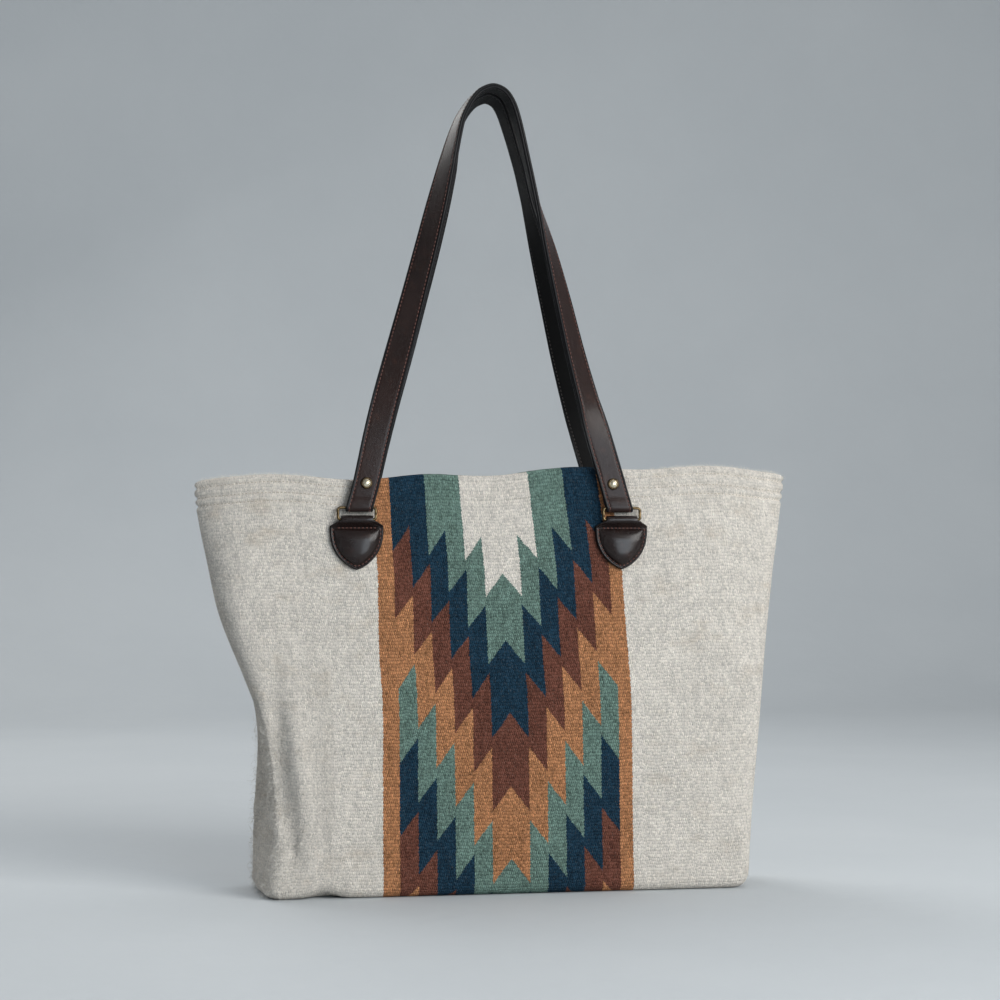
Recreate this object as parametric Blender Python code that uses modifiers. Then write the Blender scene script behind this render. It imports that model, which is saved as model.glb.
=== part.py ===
"""A woven wool tote bag with two leather handles, each hung from the front or back wall by two
brass rings and two leather tabs. Metres, +Z up, the front faces -Y, X to the right."""
import math

import bmesh
import bpy
from mathutils import Matrix, Vector

# the bag
HEIGHT = 0.320
BASE_HALF_WIDTH = 0.193
BASE_HALF_DEPTH = 0.046
RIM_HALF_DEPTH = 0.0225
RIM_HALF_WIDTH = 0.2325
FLAT_HALF_WIDTH = 0.130
CLOTH = 0.0030
BASE_ROUND = 0.009
HEM_DEPTH = 0.024
LINING = 0.0010
GAP = 0.0003
LINING_TUCK = 0.010

# the soft left side: how far the seam is pinched in half way up and low down, how far the front
# corner is folded in, and how far the side bulges out below the rim, each with the height where
# it is deepest and how far it spreads
PINCH, PINCH_Z, PINCH_SPREAD = 0.0172, 0.135, 0.078
LOW_PINCH, LOW_PINCH_Z, LOW_PINCH_SPREAD = 0.004, 0.030, 0.055
FOLD, FOLD_Z, FOLD_SPREAD = 0.020, 0.070, 0.075
BULGE, BULGE_Z, BULGE_SPREAD = 0.007, 0.250, 0.060

# the soft rim's waves: a long one, a short one, a rise from left to right about a lifted middle,
# and a droop close to the two ends
LONG_WAVE, LONG_WAVE_RUN, LONG_WAVE_START = 0.0022, 0.056, 0.0127
SHORT_WAVE, SHORT_WAVE_RUN, SHORT_WAVE_START = 0.0017, 0.018, 0.0265
RIM_RISE, RIM_LIFT = 0.0053, 0.0013
END_DROOP, DROOP_POWER = 0.0025, 20

# the handles' hardware
HANDLE_CENTRE_X = -0.0098
RING_SPACING = 0.2060
RING_BELOW_RIM = 0.0357
RING_LOW_Z = HEIGHT - RING_BELOW_RIM
RING_WIRE_R = 0.0011
RING_WIDTH = 0.0288
RING_HEIGHT = 0.0092
RING_CORNER_R = 0.0022
HINGE_OFF_WALL = 0.0048
LEATHER = 0.0020
STRAP_LINING = 0.0018
STRAP_WIDTH = 0.0210
FOLDED_END = 0.030
HOLE_R = RING_WIRE_R + GAP
TAB_NECK = 0.0244
TAB_WIDTH = 0.0412
TAB_SHOULDER = 0.0049
TAB_DROP = 0.0379
TAB_FLANGE = 0.0030
TAB_FLANGE_WIDTH = 0.0030
TAB_PAD = 0.0042
RIVET_HEAD_R = 0.0045
RIVET_POST_R = 0.0014
RIVET_ABOVE_RING = 0.0185

# the handle's path from one ring over to the other. Each station has its height above the rings'
# upper bars and its distance from the handles' middle, as shares of the handle's rise, and the
# turn of the strap's outer face, from facing forward to facing out of the arch, in degrees
HANDLE_RISE = 0.3266
LEFT_LEG = [(-0.002, -0.3100, 0), (0.061, -0.2923, 0), (0.157, -0.2707, 2), (0.249, -0.2480, 8),
            (0.369, -0.2142, 20), (0.487, -0.1813, 33), (0.608, -0.1487, 40), (0.727, -0.1180, 50),
            (0.848, -0.0873, 68), (0.916, -0.0673, 80), (0.951, -0.0501, 85), (0.976, -0.0323, 88),
            (0.991, -0.0144, 90)]
RIGHT_LEG = [(-0.002, 0.3097, 0), (0.064, 0.2922, 2), (0.157, 0.2652, 12), (0.254, 0.2372, 28),
             (0.369, 0.2068, 38), (0.493, 0.1779, 46), (0.613, 0.1490, 58), (0.730, 0.1186, 78),
             (0.841, 0.0919, 86), (0.900, 0.0783, 88), (0.948, 0.0645, 90), (0.977, 0.0507, 90),
             (0.993, 0.0347, 90)]
APEX = (1.0, 0.0111, 90)
APEX_Y = -(STRAP_WIDTH / 2 + GAP / 2)
FOLDED_SHARE = 0.10
TWISTED_SHARE = 0.25

# the back handle: its left tab is sewn nearer the middle, its strap passes under the front one
# at the top, starting and fully done at these shares of the rise, and it turns a little less
BACK_LEFT_IN = 0.007
NEST = 0.0030
NEST_FROM, NEST_FULL = 0.80, 0.96
BACK_MOST_TURN = 80
BACK_STANDS_OFF = 0.0009

for old in list(bpy.data.objects):
    bpy.data.objects.remove(old, do_unlink=True)

bag = bpy.data.collections.new("tote_bag")
cutters = bpy.data.collections.new("cutters")
bpy.context.scene.collection.children.link(bag)
bpy.context.scene.collection.children.link(cutters)


def material(name, colour, rough, metal=0.0):
    made = bpy.data.materials.new(name)
    made.use_nodes = True
    shader = made.node_tree.nodes["Principled BSDF"]
    shader.inputs["Base Color"].default_value = (*colour, 1.0)
    shader.inputs["Roughness"].default_value = rough
    shader.inputs["Metallic"].default_value = metal
    made.diffuse_color = (*colour, 1.0)
    return made


WOOL = material("wool_cloth", (0.56, 0.54, 0.50), 0.95)
COTTON = material("cotton_lining", (0.50, 0.46, 0.40), 0.9)
STRAP = material("strap_leather", (0.035, 0.022, 0.019), 0.45)
TAB = material("tab_leather", (0.018, 0.013, 0.013), 0.40)
BRASS = material("antique_brass", (0.42, 0.30, 0.14), 0.35, 1.0)


def finish(obj, mat, home=bag):
    obj.data.materials.clear()
    obj.data.materials.append(mat)
    home.objects.link(obj)
    return obj


def face_out(data):
    """Every face of a closed mesh points outwards."""
    work = bmesh.new()
    work.from_mesh(data)
    bmesh.ops.recalc_face_normals(work, faces=work.faces)
    work.to_mesh(data)
    work.free()


def mesh_object(name, points, faces, mat, home=bag):
    data = bpy.data.meshes.new(name)
    data.from_pydata([tuple(p) for p in points], [], faces)
    face_out(data)
    return finish(bpy.data.objects.new(name, data), mat, home)


def bake(obj):
    """The object's modifiers become its mesh."""
    graph = bpy.context.evaluated_depsgraph_get()
    made = bpy.data.meshes.new_from_object(obj.evaluated_get(graph), depsgraph=graph)
    face_out(made)
    old = obj.data
    obj.modifiers.clear()
    obj.data = made
    if isinstance(old, bpy.types.Mesh):
        bpy.data.meshes.remove(old)
    return obj


def curve_to_mesh(obj, mat, home=bag):
    """A tube drawn as a curve becomes a welded mesh object of the same name."""
    bpy.context.scene.collection.objects.link(obj)
    graph = bpy.context.evaluated_depsgraph_get()
    graph.update()
    data = bpy.data.meshes.new_from_object(obj.evaluated_get(graph), depsgraph=graph)
    name = obj.name
    bpy.data.objects.remove(obj, do_unlink=True)
    work = bmesh.new()
    work.from_mesh(data)
    bmesh.ops.remove_doubles(work, verts=work.verts, dist=0.00001)
    bmesh.ops.recalc_face_normals(work, faces=work.faces)
    work.to_mesh(data)
    work.free()
    return finish(bpy.data.objects.new(name, data), mat, home)


def boolean(obj, tool, how):
    mod = obj.modifiers.new(how.lower(), "BOOLEAN")
    mod.operation = how
    mod.solver = "EXACT"
    mod.object = tool


# the bag's section at a height: a rectangle at the base, a pointed lens at the rim, and cloth
# that keeps the same length round it all the way up

QUARTER_SAMPLES = 360


def blend(low, high, share):
    return low + (high - low) * share


def half_depth(z):
    return blend(BASE_HALF_DEPTH, RIM_HALF_DEPTH, z / HEIGHT)


def section_shape(z):
    share = min(max((z - BASE_ROUND) / (HEIGHT - BASE_ROUND), 0.0), 1.0)
    flat = FLAT_HALF_WIDTH
    power = blend(14.0, 2.4, share ** 0.75)
    root = blend(5.0, 1.0, share ** 0.75)
    return flat, power, root


def quarter(width, depth, z):
    """The points from the middle of the front to the side, finely sampled, with their lengths."""
    flat, power, root = section_shape(z)
    points = [(0.0, depth)]
    for i in range(QUARTER_SAMPLES + 1):
        turn = math.pi / 2 * i / QUARTER_SAMPLES
        part = math.sin(turn) ** 0.5
        across = flat + (width - flat) * part
        points.append((across, depth * max(0.0, 1.0 - part ** power) ** (1.0 / root)))
    lengths = [0.0]
    for before, after in zip(points, points[1:]):
        lengths.append(lengths[-1] + math.dist(before, after))
    return points, lengths


BASE_QUARTER = quarter(BASE_HALF_WIDTH, BASE_HALF_DEPTH, 0.0)[1][-1]
RIM_QUARTER = quarter(RIM_HALF_WIDTH, RIM_HALF_DEPTH, HEIGHT)[1][-1]


def half_width(z):
    """The width at which the cloth's length round the bag eases evenly from base to rim."""
    low, high = FLAT_HALF_WIDTH, 1.5 * RIM_HALF_WIDTH
    length = blend(BASE_QUARTER, RIM_QUARTER, z / HEIGHT)
    for _ in range(40):
        middle = (low + high) / 2
        if quarter(middle, half_depth(z), z)[1][-1] < length:
            low = middle
        else:
            high = middle
    return low


FRONT_STOPS = [0.0, 0.11, 0.22, 0.33, 0.44, 0.55, 0.66, 0.715, 0.755, 0.785, 0.805, 0.825, 0.855,
               0.90, 0.95, 1.0]


def wave(x):
    """How far the soft rim stands above or below its mean height."""
    return (LONG_WAVE * math.sin((x - LONG_WAVE_START) / LONG_WAVE_RUN)
            + SHORT_WAVE * math.sin((x - SHORT_WAVE_START) / SHORT_WAVE_RUN)
            + RIM_RISE * x / RIM_HALF_WIDTH + RIM_LIFT
            - END_DROOP * (abs(x) / RIM_HALF_WIDTH) ** DROOP_POWER)


def bump(z, middle, spread):
    return math.exp(-((z - middle) / spread) ** 2)


def soft_side(x, y, z, width):
    """How far a point on the bag's left side is pushed in, towards the middle."""
    if x > -FLAT_HALF_WIDTH:
        return 0.0
    part = (-x - FLAT_HALF_WIDTH) / (width - FLAT_HALF_WIDTH)
    push = PINCH * bump(z, PINCH_Z, PINCH_SPREAD)
    push += LOW_PINCH * bump(z, LOW_PINCH_Z, LOW_PINCH_SPREAD)
    forward = max(0.0, -y / half_depth(z))
    return part * (push * (1 - 0.45 * forward) - BULGE * bump(z, BULGE_Z, BULGE_SPREAD)
                   + FOLD * forward * bump(z, FOLD_Z, FOLD_SPREAD))


def loop(z, inset, draw_in=0.0, lift=0.0):
    """One closed ring of points round the bag, `inset` inside the outer surface."""
    depth = half_depth(z) - inset - draw_in
    share = z / HEIGHT
    tip = blend(1.0, 1.9, share ** 1.5)
    width = half_width(z) - inset * tip - draw_in
    points, lengths = quarter(width, depth, z)
    found = []
    at = 0
    for stop in FRONT_STOPS:
        target = stop * lengths[-1]
        while at < len(lengths) - 2 and lengths[at + 1] < target:
            at += 1
        span = lengths[at + 1] - lengths[at]
        part = (target - lengths[at]) / span if span > 0 else 0.0
        found.append((blend(points[at][0], points[at + 1][0], part),
                      blend(points[at][1], points[at + 1][1], part)))
    right_front = [(x, -y) for x, y in found]
    right_back = [(x, y) for x, y in reversed(found[:-1])]
    left_back = [(-x, y) for x, y in found[1:]]
    left_front = [(-x, -y) for x, y in reversed(found[1:-1])]
    ring = right_front + right_back + left_back + left_front
    made = []
    outer_width = half_width(z)
    for x, y in ring:
        x += soft_side(x, y, z, outer_width)
        high = z + lift + wave(x) * share ** 3
        # the wall is a plane, so a point that the rim's wave lifts moves along it
        slope = (RIM_HALF_DEPTH - BASE_HALF_DEPTH) / HEIGHT * (high - z)
        toward = y / depth if depth else 0.0
        made.append((x, y + slope * toward, high))
    return made


def loft(name, loops, mat):
    count = len(loops[0])
    points = [p for ring in loops for p in ring]
    faces = []
    for row in range(len(loops) - 1):
        here, there = row * count, (row + 1) * count
        rising = points[there][2] >= points[here][2]
        for i in range(count):
            j = (i + 1) % count
            # each warped patch is split from its lower left to its upper right, so that
            # surfaces that lie on each other are split alike
            if rising:
                faces.append((here + i, here + j, there + j))
                faces.append((here + i, there + j, there + i))
            else:
                faces.append((here + i, here + j, there + i))
                faces.append((here + j, there + j, there + i))
    last = (len(loops) - 1) * count
    faces.append(tuple(range(count)))
    faces.append(tuple(range(last, last + count)))
    return mesh_object(name, points, faces, mat)


hem_low = HEIGHT - HEM_DEPTH
ROW_SHARES = [0.03, 0.09, 0.17, 0.27, 0.37, 0.47, 0.58, 0.69, 0.79, 0.88, 0.96]
ROWS = [blend(BASE_ROUND, hem_low, share) for share in ROW_SHARES]

# the cloth: up the outside, over the rim, down the turned hem, up behind it, down the inside
SLOT = LINING + 2 * GAP
HEM_IN = 2 * CLOTH + SLOT
SOFT = CLOTH / 4


outer = [loop(0.0, 0.0, BASE_ROUND), loop(0.0, 0.0, BASE_ROUND * 0.45, BASE_ROUND * 0.15),
         loop(0.0, 0.0, BASE_ROUND * 0.12, BASE_ROUND * 0.5), loop(BASE_ROUND, 0.0)]
outer += [loop(z, 0.0) for z in ROWS]
outer += [loop(hem_low + SOFT, 0.0), loop(HEIGHT - HEM_DEPTH * 0.4, 0.0)]
over = [loop(HEIGHT - 2 * SOFT, 0.0), loop(HEIGHT - SOFT / 2, SOFT), loop(HEIGHT, 3 * SOFT)]
over += [loop(HEIGHT, HEM_IN - 3 * SOFT), loop(HEIGHT - SOFT / 2, HEM_IN - SOFT),
         loop(HEIGHT - 2 * SOFT, HEM_IN)]
hem = [loop(hem_low + SOFT, HEM_IN), loop(hem_low, HEM_IN - SOFT),
       loop(hem_low, CLOTH + SLOT + SOFT), loop(hem_low + SOFT, CLOTH + SLOT)]
tuck_top = hem_low + LINING_TUCK
slot_top = tuck_top + 2 * GAP
slot = [loop(slot_top, CLOTH + SLOT), loop(slot_top, CLOTH)]
inner = [loop(hem_low, CLOTH)]
inner += [loop(z, CLOTH) for z in reversed(ROWS)]
inner += [loop(BASE_ROUND, CLOTH), loop(CLOTH * 1.5, CLOTH, BASE_ROUND * 0.12),
          loop(CLOTH, CLOTH, BASE_ROUND * 0.45)]
loft("woven_body", outer + over + hem + slot + inner, WOOL)

# the lining lies on the cloth inside, with its top edge under the turned hem
out_by = CLOTH + GAP
in_by = out_by + LINING
lining_out = [loop(out_by, out_by, BASE_ROUND * 0.50), loop(out_by * 1.64, out_by, BASE_ROUND * 0.16),
              loop(BASE_ROUND, out_by)]
lining_out += [loop(z, out_by) for z in ROWS] + [loop(hem_low, out_by), loop(tuck_top, out_by)]
lining_in = [loop(tuck_top, in_by), loop(hem_low, in_by)] + [loop(z, in_by) for z in reversed(ROWS)]
lining_in += [loop(BASE_ROUND, in_by), loop(in_by * 1.42, in_by, BASE_ROUND * 0.18),
              loop(in_by, in_by, BASE_ROUND * 0.54)]
loft("lining", lining_out + lining_in, COTTON)

# the hardware is made for the front wall, and its mirror image is the back's
WALL_SLOPE = math.atan((BASE_HALF_DEPTH - RIM_HALF_DEPTH) / HEIGHT)
UP = Vector((0.0, math.sin(WALL_SLOPE), math.cos(WALL_SLOPE)))
OUT = Vector((0.0, -math.cos(WALL_SLOPE), math.sin(WALL_SLOPE)))


def wall(z):
    return Vector((0.0, -half_depth(z), z))


LOW_BAR = wall(RING_LOW_Z) + OUT * HINGE_OFF_WALL
TOP_BAR = LOW_BAR + UP * RING_HEIGHT
SIDES = {"left": -1.0, "right": 1.0}


def ring_centre_x(side, place):
    moved = BACK_LEFT_IN if (place, side) == ("back", "left") else 0.0
    return HANDLE_CENTRE_X + SIDES[side] * RING_SPACING / 2 + moved


def on_wall(centre_x, across, up, out):
    """A point given from the lower bar: across, up the wall and out from it."""
    return LOW_BAR + Vector((centre_x + across, 0.0, 0.0)) + UP * up + OUT * out


def ring(side, place):
    half_x, half_z = RING_WIDTH / 2, RING_HEIGHT / 2
    path = []
    for corner_x, corner_z, first in ((1, 1, 0), (-1, 1, 90), (-1, -1, 180), (1, -1, 270)):
        for step in range(4):
            turn = math.radians(first + 30 * step)
            path.append((corner_x * (half_x - RING_CORNER_R) + RING_CORNER_R * math.cos(turn),
                         corner_z * (half_z - RING_CORNER_R) + RING_CORNER_R * math.sin(turn)))
    data = bpy.data.curves.new(place + "_ring_" + side, "CURVE")
    data.dimensions = "3D"
    data.bevel_depth = RING_WIRE_R
    data.bevel_resolution = 1
    spline = data.splines.new("POLY")
    spline.points.add(len(path) - 1)
    for point, (x, z) in zip(spline.points, path):
        point.co = (*on_wall(ring_centre_x(side, place), x, z + half_z, 0.0), 1.0)
    spline.use_cyclic_u = True
    obj = bpy.data.objects.new(place + "_ring_" + side, data)
    return curve_to_mesh(obj, BRASS)


# how the tab widens from its neck to its shoulders: shares across, and shares down
NECK_CURVE = [(0.0, 0.0), (0.17, 0.13), (0.46, 0.44), (0.89, 0.83), (1.0, 1.0)]
SHIELD_STEPS = 11


def shield_side(half, top, tip):
    """The shield's side from its top corner down to its rounded tip."""
    points = []
    for step in range(1, SHIELD_STEPS):
        part = step / SHIELD_STEPS
        points.append((half * (1 - part ** 2.6) ** 0.75, -blend(top, tip, part)))
    return points + [(0.0, -tip)]


def flange_outline(inset):
    """Half of the whole tab's outline, from its neck down to its tip."""
    neck, half = TAB_NECK / 2 - inset, TAB_WIDTH / 2 - inset
    shoulder = TAB_SHOULDER + inset / 2
    points = [(blend(neck, half, across), -shoulder * down) for across, down in NECK_CURVE]
    return points + shield_side(half, shoulder, TAB_DROP - inset)


def pad_outline(inset):
    """Half of the stuffed pad's outline, which has a straight top below the row of stitches."""
    half, top = TAB_WIDTH / 2 - inset, TAB_SHOULDER + inset
    points = [(half * across, -top) for across in (0.3, 0.5, 0.7, 0.85, 0.97)]
    return points + shield_side(half, top, TAB_DROP - inset)


def tab(side, place):
    name = place + "_tab_" + side
    centre = ring_centre_x(side, place)
    back = -HINGE_OFF_WALL + GAP
    soft = TAB_FLANGE / 6
    edge = TAB_FLANGE_WIDTH
    halves = [(flange_outline(soft), 0.0), (flange_outline(0.0), soft),
              (flange_outline(0.0), TAB_FLANGE - soft), (flange_outline(soft), TAB_FLANGE),
              (pad_outline(edge), TAB_FLANGE + TAB_PAD * 0.08),
              (pad_outline(edge * 1.25), TAB_FLANGE + TAB_PAD * 0.42),
              (pad_outline(edge * 1.8), TAB_FLANGE + TAB_PAD * 0.70),
              (pad_outline(edge * 2.8), TAB_FLANGE + TAB_PAD * 0.90),
              (pad_outline(edge * 4.2), TAB_FLANGE + TAB_PAD)]
    loops = []
    for half, out in halves:
        whole = half + [(-x, y) for x, y in reversed(half[:-1])]
        loops.append([on_wall(centre, x, y, back + out) for x, y in whole])
    plate = loft(name, loops, TAB)
    # the leather's fold round the bar, open where the bar goes through
    fold_r = HOLE_R + LEATHER
    profile = []
    for step in range(13):
        turn = math.radians(-10 + 200 * step / 12)
        profile.append((fold_r * math.cos(turn), fold_r * math.sin(turn)))
    inside = back + TAB_FLANGE * 0.5
    profile.append((inside, -fold_r))
    profile.append((inside, -TAB_SHOULDER - TAB_FLANGE_WIDTH / 2))
    profile.append((back + TAB_FLANGE * 1.05, -TAB_SHOULDER - TAB_FLANGE_WIDTH / 3))
    loops = []
    for across in (-TAB_NECK / 2, TAB_NECK / 2):
        loops.append([on_wall(centre, across, up, out) for out, up in profile])
    fold = loft(name + "_fold", loops, TAB)
    cutters.objects.link(fold)
    bag.objects.unlink(fold)
    bore = []
    for across in (-TAB_NECK, TAB_NECK):
        bore.append([on_wall(centre, across, HOLE_R * math.sin(math.radians(a)),
                             HOLE_R * math.cos(math.radians(a))) for a in range(0, 360, 30)])
    hole = loft(name + "_hole", bore, TAB)
    cutters.objects.link(hole)
    bag.objects.unlink(hole)
    boolean(plate, fold, "UNION")
    boolean(plate, hole, "DIFFERENCE")
    bake(plate)
    for tool in (fold, hole):
        tool.hide_render = True
        tool.display_type = "WIRE"
    return plate


def smooth(values, share):
    """A value on a Catmull-Rom curve through evenly numbered values."""
    share = min(max(share, 0.0), len(values) - 1.0)
    i = min(int(share), len(values) - 2)
    t = share - i
    before = values[max(i - 1, 0)]
    low, high = values[i], values[i + 1]
    after = values[min(i + 2, len(values) - 1)]
    return 0.5 * (2 * low + (high - before) * t + (2 * before - 5 * low + 4 * high - after) * t * t
                  + (3 * low - before - 3 * high + after) * t ** 3)


def nested(here, normal, on_left):
    """Where the back strap runs: nearer the middle on the left, and under the front one on top."""
    rise = (here.z - TOP_BAR.z) / HANDLE_RISE
    part = min(max((rise - NEST_FROM) / (NEST_FULL - NEST_FROM), 0.0), 1.0)
    part = part * part * (3 - 2 * part)
    if on_left:
        here = here + Vector((BACK_LEFT_IN * (1 - part), 0.0, 0.0))
    return here - normal * (NEST * part)


def strap_frames(place):
    """Points along the middle of the strap, each with its width's and its outer face's direction."""
    stations = LEFT_LEG + [APEX] + list(reversed(RIGHT_LEG))
    top = len(LEFT_LEG)
    steps = 4
    frames = []
    total = (len(stations) - 1) * steps
    highs = [s[0] for s in stations]
    acrosses = [s[1] for s in stations]
    turns = [s[2] for s in stations]
    apex_y = APEX_Y if place == "front" else APEX_Y - BACK_STANDS_OFF

    def path(share):
        high = smooth(highs, share)
        y = blend(TOP_BAR.y, apex_y, min(1.0, high))
        return Vector((HANDLE_CENTRE_X + HANDLE_RISE * smooth(acrosses, share), y,
                       TOP_BAR.z + HANDLE_RISE * high))

    for i in range(total + 1):
        share = i / steps
        here = path(share)
        ahead = (path(share + 0.02) - path(share - 0.02)).normalized()
        most = 90.0 if place == "front" else BACK_MOST_TURN
        face_turn = math.radians(min(max(smooth(turns, share), 0.0), most))
        forward = Vector((0.0, -1.0, 0.0))
        forward = (forward - ahead * forward.dot(ahead)).normalized()
        # the path runs from the left ring over to the right one, so this points out of the arch
        outward = forward.cross(ahead)
        if (outward.z < 0 and abs(share - top) < 2) or outward.x * (share - top) < -1e-9:
            outward = -outward
        normal = (forward * math.cos(face_turn) + outward * math.sin(face_turn)).normalized()
        width = ahead.cross(normal).normalized()
        if share <= top and width.x < 0 and face_turn < 1.0:
            width = -width
        # at the rings the strap's ends are folded squarely round the bars
        rise = (here.z - TOP_BAR.z) / HANDLE_RISE
        square = min(max((rise - FOLDED_SHARE) / (TWISTED_SHARE - FOLDED_SHARE), 0.0), 1.0)
        if square < 1.0:
            level = Vector((1.0 if width.x > 0 else -1.0, 0.0, 0.0))
            width = (level * (1 - square) + width * square).normalized()
            normal = (OUT * (1 - square) + normal * square).normalized()
        if place == "back":
            here = nested(here, normal, share < top)
        frames.append((here, width, normal))
    return frames


def strip(name, rows, thick, mat):
    """A strip of leather: rows of points across it, given a thickness."""
    points = [p for row in rows for p in row]
    count = len(rows[0])
    faces = []
    for r in range(len(rows) - 1):
        for i in range(count - 1):
            faces.append((r * count + i, r * count + i + 1, (r + 1) * count + i + 1,
                          (r + 1) * count + i))
    data = bpy.data.meshes.new(name)
    data.from_pydata([tuple(p) for p in points], [], faces)
    obj = finish(bpy.data.objects.new(name, data), mat)
    mod = obj.modifiers.new("thickness", "SOLIDIFY")
    mod.thickness = thick
    mod.offset = 0.0
    mod.use_even_offset = True
    return obj


def row_of(here, width, normal, out):
    half = STRAP_WIDTH / 2
    return [here + width * a + normal * out for a in (-half, 0.0, half)]


PLY_OUT = LEATHER / 2 + GAP / 2
PLY_IN = LEATHER / 2 + GAP / 2
LOOP_R = HOLE_R + LEATHER / 2


def leg_point(frames, rise):
    """The frame a given height above the top bar on the leg that `frames` starts with."""
    for first, second in zip(frames, frames[1:]):
        if second[0].z - TOP_BAR.z >= rise:
            span = second[0].z - first[0].z
            part = (rise - (first[0].z - TOP_BAR.z)) / span
            return tuple(first[k].lerp(second[k], part) for k in range(3))
    return frames[-1]


def folded_end(frames):
    """Rows from the end of the folded ply, down behind, round the bar, to the front."""
    rows = []
    first = frames[0][0]
    across = frames[0][1]
    for rise in (FOLDED_END, 0.024, 0.018, 0.012, 0.0085):
        here, width, normal = leg_point(frames, rise)
        rows.append(row_of(here, width, normal, -PLY_IN))
    for rise, out in ((0.0055, -(PLY_IN + LOOP_R) / 2 - 0.0001), (0.0028, -LOOP_R + 0.0002)):
        here, width, normal = leg_point(frames, rise)
        rows.append(row_of(here, width, OUT, out))
    middle = Vector((first.x, TOP_BAR.y, TOP_BAR.z))
    for step in range(9):
        turn = math.radians(180 + 180 * step / 8)
        spot = middle + OUT * (LOOP_R * math.cos(turn)) + UP * (LOOP_R * math.sin(turn))
        rows.append(row_of(spot, across, OUT, 0.0))
    for rise, out in ((0.0028, LOOP_R - 0.0002), (0.0055, (PLY_OUT + LOOP_R) / 2 + 0.0001)):
        here, width, normal = leg_point(frames, rise)
        rows.append(row_of(here, width, OUT, out))
    return rows


def aligned(frames):
    """The frames with the width's direction kept from one to the next."""
    made = [frames[0]]
    for here, width, normal in frames[1:]:
        if width.dot(made[-1][1]) < 0:
            width = -width
        made.append((here, width, normal))
    return made


def strap(place):
    frames = aligned(strap_frames(place))
    top = len(LEFT_LEG) * 4
    left = frames[:top + 1]
    right = list(reversed(frames[top:]))
    rows = folded_end(left)
    body = [f for f in frames if f[0].z - TOP_BAR.z > 0.0085]
    rows += [row_of(*f, PLY_OUT) for f in body]
    rows += list(reversed(folded_end(right)))
    leather = strip(place + "_strap", rows, LEATHER, STRAP)
    inside = -(STRAP_LINING / 2 + GAP / 2)
    start = leg_point(left, FOLDED_END + GAP)
    end = leg_point(right, FOLDED_END + GAP)
    between = [f for f in frames if f[0].z - TOP_BAR.z > FOLDED_END + 0.003]
    rows = [row_of(*f, inside) for f in [start] + between + [end]]
    strip(place + "_strap_lining", rows, STRAP_LINING, STRAP)
    return leather, left, right


def turned(name, profile, spot, axis, mat, home=bag):
    """A round part: a profile of radius and height, screwed about an axis."""
    data = bpy.data.meshes.new(name)
    edges = [(i, i + 1) for i in range(len(profile) - 1)]
    data.from_pydata([(r, 0.0, h) for r, h in profile], edges, [])
    obj = finish(bpy.data.objects.new(name, data), mat, home)
    mod = obj.modifiers.new("round", "SCREW")
    mod.steps = 16
    mod.render_steps = 16
    mod.use_merge_vertices = True
    mod.merge_threshold = 0.00005
    mod.use_normal_calculate = True
    obj.location = spot
    obj.rotation_euler = Vector((0.0, 0.0, 1.0)).rotation_difference(axis).to_euler()
    return obj


def rivet(name, leather, frames):
    here, _, normal = leg_point(frames, RIVET_ABOVE_RING)
    front = 2 * PLY_OUT - GAP / 2 + GAP
    back = -front
    r = RIVET_HEAD_R
    head = [(0.0, front + 0.0019), (r * 0.45, front + 0.0016), (r * 0.80, front + 0.0009),
            (r, front + 0.0003), (r, front), (RIVET_POST_R, front), (RIVET_POST_R, back),
            (0.0, back)]
    turned(name + "_post", head, here, normal, BRASS)
    low = back - GAP
    cap = [(0.0, low), (r * 0.85, low), (r * 0.85, low - 0.0004), (r * 0.6, low - 0.0008),
           (0.0, low - 0.0009)]
    turned(name + "_cap", cap, here, normal, BRASS)
    clear = RIVET_POST_R + GAP
    hole = turned(name + "_hole", [(0.0, 0.006), (clear, 0.006), (clear, -0.006), (0.0, -0.006)],
                  here, normal, BRASS, cutters)
    bake(hole)
    hole.hide_render = True
    hole.display_type = "WIRE"
    boolean(leather, hole, "DIFFERENCE")


def mirror(obj):
    """Turns a piece built against the front into the back's own piece."""
    obj.data.transform(obj.matrix_world)
    obj.matrix_world = Matrix.Identity(4)
    for vertex in obj.data.vertices:
        vertex.co.y = -vertex.co.y
    face_out(obj.data)


for place in ("front", "back"):
    leather, left_frames, right_frames = strap(place)
    for side in SIDES:
        ring(side, place)
        tab(side, place)
    rivet(place + "_rivet_left", leather, left_frames)
    rivet(place + "_rivet_right", leather, right_frames)
bpy.context.view_layer.update()
for made in [o for o in bag.objects if o.name.startswith(("front_", "back_"))]:
    bake(made)
bpy.context.view_layer.update()
for made in [o for o in bag.objects if o.name.startswith("back_")]:
    mirror(made)
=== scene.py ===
"""The looks of a handwoven wool tote bag with leather handles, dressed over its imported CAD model.
Metres, +Z up, the front faces -Y."""

import math

import bpy
import numpy as np
from mathutils import Euler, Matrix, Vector, noise


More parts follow.
